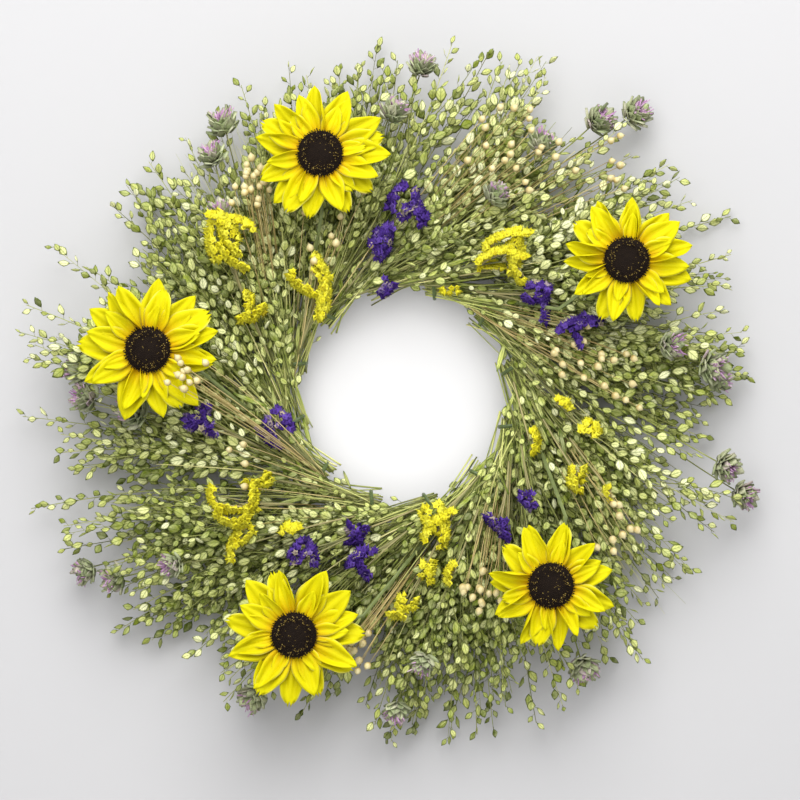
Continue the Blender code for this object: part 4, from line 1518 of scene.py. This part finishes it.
# radius, angle, depth, half length and combs, in millimetres and degrees
SMALL_YELLOW = [
    (124, 150, 58, 14, 2),
    (105, 55, 50, 12, 1),
    (86, 67, 46, 9, 1),
    (133, -11, 60, 10, 2),
    (133, -25, 60, 12, 2),
    (158, -25, 62, 8, 1),
    (96, -21, 50, 12, 1),
    (114, -5, 56, 9, 1),
    (128, -73, 60, 9, 1),
    (122, -85, 60, 12, 2),
    (144, -89, 63, 15, 2),
    (118, -152, 58, 13, 2),
    (151, -137, 62, 14, 2),
    (122, -130, 60, 9, 1),
]
SMALL_PURPLE = [
    (133, 88, 62, 16, 4),
    (80, 99, 45, 9, 2),
    (118, 35, 56, 14, 3),
    (140, -173, 62, 16, 4),
    (131, -121, 70, 14, 3),
    (104, -109, 54, 12, 3),
    (122, -103, 60, 12, 3),
    (116, -52, 58, 14, 3),
    (115, -40, 58, 9, 2),
]
florets += sprig("yellow_small", YELLOW_PAPER, of_bunches(SMALL_YELLOW))
florets += sprig("purple_small", PURPLE_PAPER, of_bunches(SMALL_PURPLE))
print("statice florets", florets)

# %% [markdown]
# ## Flax bolls and bergamot heads
# Flax bolls are ribbed straw-coloured globes with a small point, on thin stems.  Bergamot heads are
# balls of overlapping grey-green bracts with dark sharp tips, with dusty mauve tubes between them.

# %% Model the boll and the bract
BOLL_HEIGHT = 2.42              # as modelled, before a boll gets its size
boll = start("boll", bpy.ops.mesh.primitive_uv_sphere_add, segments=10, ring_count=7, radius=1)
pull(boll, lambda p: p.z > 0.99, move=(0, 0, 0.50))
pull(boll, lambda p: p.z < -0.99, move=(0, 0, 0.12))


def five_ribs(p):
    """Five shallow furrows down the side, and the foot at the origin."""
    rib = 1 - 0.09 * (1 + math.cos(5 * math.atan2(p.y, p.x)))
    return Vector((p.x * rib, p.y * rib, p.z + 1))


shape_by(boll, five_ribs)
boll_template = Template(boll, lambda p: round_map(p, p[:, 2] / BOLL_HEIGHT))

bract = start("bract", bpy.ops.mesh.primitive_grid_add, x_subdivisions=2, y_subdivisions=4, size=2)
shape_by(bract, pointed_blade(0.40, 0.20, 0.77, -0.12))
apply_modifier(bract, "SOLIDIFY", thickness=0.035, offset=0.0)
bract_template = Template(bract)
print("boll and bract ready")

# %% [markdown]
# ## Planting the flax
# Flax stands in loose groups.  Each boll ends a straw that comes from deep in the wreath, and leans
# the way its straw runs.  One group stands in front of a sunflower, on longer straws that pass
# beside the head, so that the flower can still nod.

# %% Plant the flax
SLANT = np.array((0.3, 0.2, 0.93))      # a direction that no stem runs along
OVER_FLOWER = 90 * MM           # a group deeper than this stands in front of a sunflower


def back_to_bunch(place, away, drop):
    """A stem from deep in the wreath, clockwise and outwards, to a place near its front."""
    angle = stem_angle(place)
    root = place - flat_direction(angle) * away + np.array((0, drop, 0))
    knee = place - flat_direction(angle + rng.normal(0, 0.10)) * away * 0.5
    return curve_between(root, knee, place, 7), unit(place - knee)


# radius, angle, spread, number of bolls and depth
FLAX_GROUPS = [
    (180 * MM, 125, 17 * MM, 20, 66 * MM),
    (148 * MM, 176, 13 * MM, 11, 101.5 * MM),
    (181 * MM, 66, 34 * MM, 20, 60 * MM),
    (215 * MM, 50, 20 * MM, 8, 45 * MM),
    (128 * MM, 14, 24 * MM, 15, 63 * MM),
    (150 * MM, 3, 22 * MM, 9, 62 * MM),
    (183 * MM, -101, 15 * MM, 16, 66 * MM),
    (148 * MM, -67, 16 * MM, 16, 66 * MM),
    (172 * MM, -32, 16 * MM, 9, 66 * MM),
    (126 * MM, 115, 30 * MM, 9, 62 * MM),
    (125 * MM, -150, 30 * MM, 7, 62 * MM),
]
boll_at = []
boll_frames = []
boll_stems = []
for radius, degrees, spread_by, count, depth in FLAX_GROUPS:
    middle_place = np.array(polar(radius, degrees, depth))
    for _ in range(count):
        place_here = middle_place + np.clip(rng.normal(0, 0.55, 3), -1, 1) * spread_by * (1, 0.03, 1)
        away = rng.uniform(50, 85) if depth < OVER_FLOWER else rng.uniform(100, 110)
        stem, heading = back_to_bunch(place_here, away * MM, min(depth * 0.5, 34 * MM))
        size = rng.uniform(2.5, 3.2) * MM
        axis = unit(heading + FRONT * 0.3 + rng.normal(0, 0.2, 3))
        side = unit(np.cross(axis, SLANT))
        boll_at.append(place_here)
        boll_frames.append(np.stack([side, np.cross(axis, side), axis * 0.95], axis=-1) * size)
        boll_stems.append(stem)
bolls = boll_template.planted(boll_at, boll_frames, rng.uniform(0, 1, len(boll_at)))
grow("flax_bolls", [bolls], FLAX, "wreath")
straw_tints = rng.uniform(0, 1, len(boll_at))
straw = tubes(np.array(boll_stems), np.linspace(0.38, 0.24, 7) * MM, 4, straw_tints)
grow("flax_straws", [straw], FLAX_STRAW, "wreath")
print("flax bolls", len(boll_at))

# %% [markdown]
# ## Fine bristles
# A few grass awns stick out past the pods.  Each is one very thin tube, and they share one piece.

# %% Plant the fine bristles
# radius, angle, spread and count, in millimetres and degrees
BRISTLES = [(200, 122, 14, 36), (206, 132, 10, 12), (214, -38, 12, 10), (212, -160, 12, 10)]
bristles = []
for radius, degrees, spread_by, count in BRISTLES:
    for _ in range(count):
        tip = np.array(polar((radius + rng.uniform(-14, 26)) * MM, degrees, rng.uniform(20, 48) * MM))
        tip = tip + rng.normal(0, 0.6, 3) * spread_by * (MM, 0, MM)
        ahead = flat_direction(stem_angle(tip) + rng.normal(0.12, 0.16))
        root = tip - ahead * rng.uniform(60, 95) * MM
        bristles.append(curve_between(root, (root + tip) / 2 + rng.normal(0, 2 * MM, 3), tip, 6))
hair_paths = keep_clear(np.array(bristles))
hair_tints = rng.uniform(0.5, 1, len(bristles))
hairs = tubes(hair_paths, np.linspace(0.20, 0.08, 6) * MM, 3, hair_tints)
grow("bristles", [hairs], STALK, "wreath")
print("bristles", len(bristles))

# %% [markdown]
# ## Bergamot heads
# A head's bracts follow a golden spiral from its foot to its top, wide open at the middle and
# closing above it.  Mauve tubes stand out between the upper ones.  The heads show best near the
# wreath's edge, where a few stand clear of the pods.

# %% Plant the bergamot
BRACTS = 34                     # on one head
HEAD_TUBES = 44                 # on one head
# radius, angle and depth, in millimetres and degrees
BERGAMOT = [
    (223, 124, 34), (210, 129, 40), (194, 93, 52), (226, 87, 38), (232, 55, 30), (196, 61, 50), (252, 51, 20),
    (149, 66, 60), (175, 136, 55), (218, -179, 34), (183, -175, 55), (251, -151, 22), (236, -147, 30),
    (196, -143, 50), (231, -116, 32), (183, -85, 58), (217, -91, 42), (224, -56, 36), (227, -12, 38),
    (245, -16, 26), (185, 11, 56), (212, 6, 44), (217, 3, 36), (223, 176, 30),
]


def head_bracts(place, axis, side, other, size):
    k = np.arange(BRACTS)
    rise = (k / BRACTS)[:, None]
    around = np.cos(GOLDEN * k)[:, None] * side + np.sin(GOLDEN * k)[:, None] * other
    open_out = np.sin(math.pi * (0.12 + 0.62 * rise))
    foot = place + axis * (rise * 6.5 * size) + around * open_out * 2.6 * size
    leaning = axis * (0.45 + 0.9 * rise) + around * (1.1 - 0.7 * rise)
    along = unit(leaning + rng.normal(0, 0.15, (BRACTS, 3)))
    long = rng.uniform(6.5, 9.0, BRACTS)[:, None] * size
    frames = frames_from(along, -around + axis * 0.3, np.broadcast_to(long, (BRACTS, 3)))
    return bract_template.planted(foot, frames, np.clip(rng.normal(0.5, 0.25, BRACTS), 0, 1))


def head_tubes(place, axis, side, other, size):
    turn = rng.uniform(0, WHOLE_TURN, HEAD_TUBES)
    around = np.cos(turn)[:, None] * side + np.sin(turn)[:, None] * other
    sprout = unit(axis * rng.uniform(0.7, 1.8, (HEAD_TUBES, 1)) + around)
    root = place + axis * 4.5 * size + sprout * 3.0 * size
    long = rng.uniform(4, 7, (HEAD_TUBES, 1)) * size
    tip = root + sprout * long + rng.normal(0, 1.3 * MM, (HEAD_TUBES, 3))
    middle = (root + tip) / 2 + rng.normal(0, 0.8 * MM, (HEAD_TUBES, 3))
    radii = np.array((0.45, 0.6, 0.35)) * MM
    return tubes(np.stack([root, middle, tip], axis=1), radii, 5, rng.uniform(0, 1, HEAD_TUBES))


bract_batches = []
mauve_batches = []
bergamot_stems = []
for radius, degrees, depth in BERGAMOT:
    place_here = np.array(polar(radius * MM, degrees, depth * MM))
    stem, heading = back_to_bunch(place_here, 90 * MM, 14 * MM)
    bergamot_stems.append(stem)
    axis = unit(heading + FRONT * rng.uniform(0.0, 0.5) + rng.normal(0, 0.12, 3))
    side = unit(np.cross(axis, SLANT))
    other = np.cross(axis, side)
    size = rng.uniform(1.1, 1.45) * MM
    bract_batches.append(head_bracts(place_here, axis, side, other, size))
    mauve_batches.append(head_tubes(place_here, axis, side, other, size))
grow("bergamot_bracts", bract_batches, BRACT, "wreath")
grow("bergamot_tubes", mauve_batches, MAUVE, "wreath")
stem_tints = rng.uniform(0.1, 0.5, len(BERGAMOT))
stems = tubes(np.array(bergamot_stems), 0.5 * MM, 5, stem_tints)
grow("bergamot_stems", [stems], STALK, "wreath")
print("bergamot heads", len(BERGAMOT))

# %% [markdown]
# ## The metal and plastic that stay as they are
# The ring, barrel, loop, clamps and sunflower stems are already the right shape, so they only get
# better finishes.

# %% Finish the frame's own pieces
for label, node in frame["nodes"].items():
    if label in ("ring_wire", "hanger_barrel", "hanger_loop") or label.startswith("clamp_"):
        node.material_slots[0].material = PAINTED_WIRE
    elif label.startswith(("stem_", "calyx_")):
        node.material_slots[0].material = STEM_PLASTIC
print("frame pieces finished")

# %% [markdown]
# ## Sizes
# Last, the frame's box and the finished wreath's box are written down, so that the two can be
# compared.  Foliage may reach a little past its plain solid, but not far.

# %% Write the sizes and finish
shown_low, shown_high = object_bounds()
over = (*(cad_low - shown_low), *(shown_high - cad_high))
print("over the frame's box in mm", [round(v / MM, 1) for v in over])
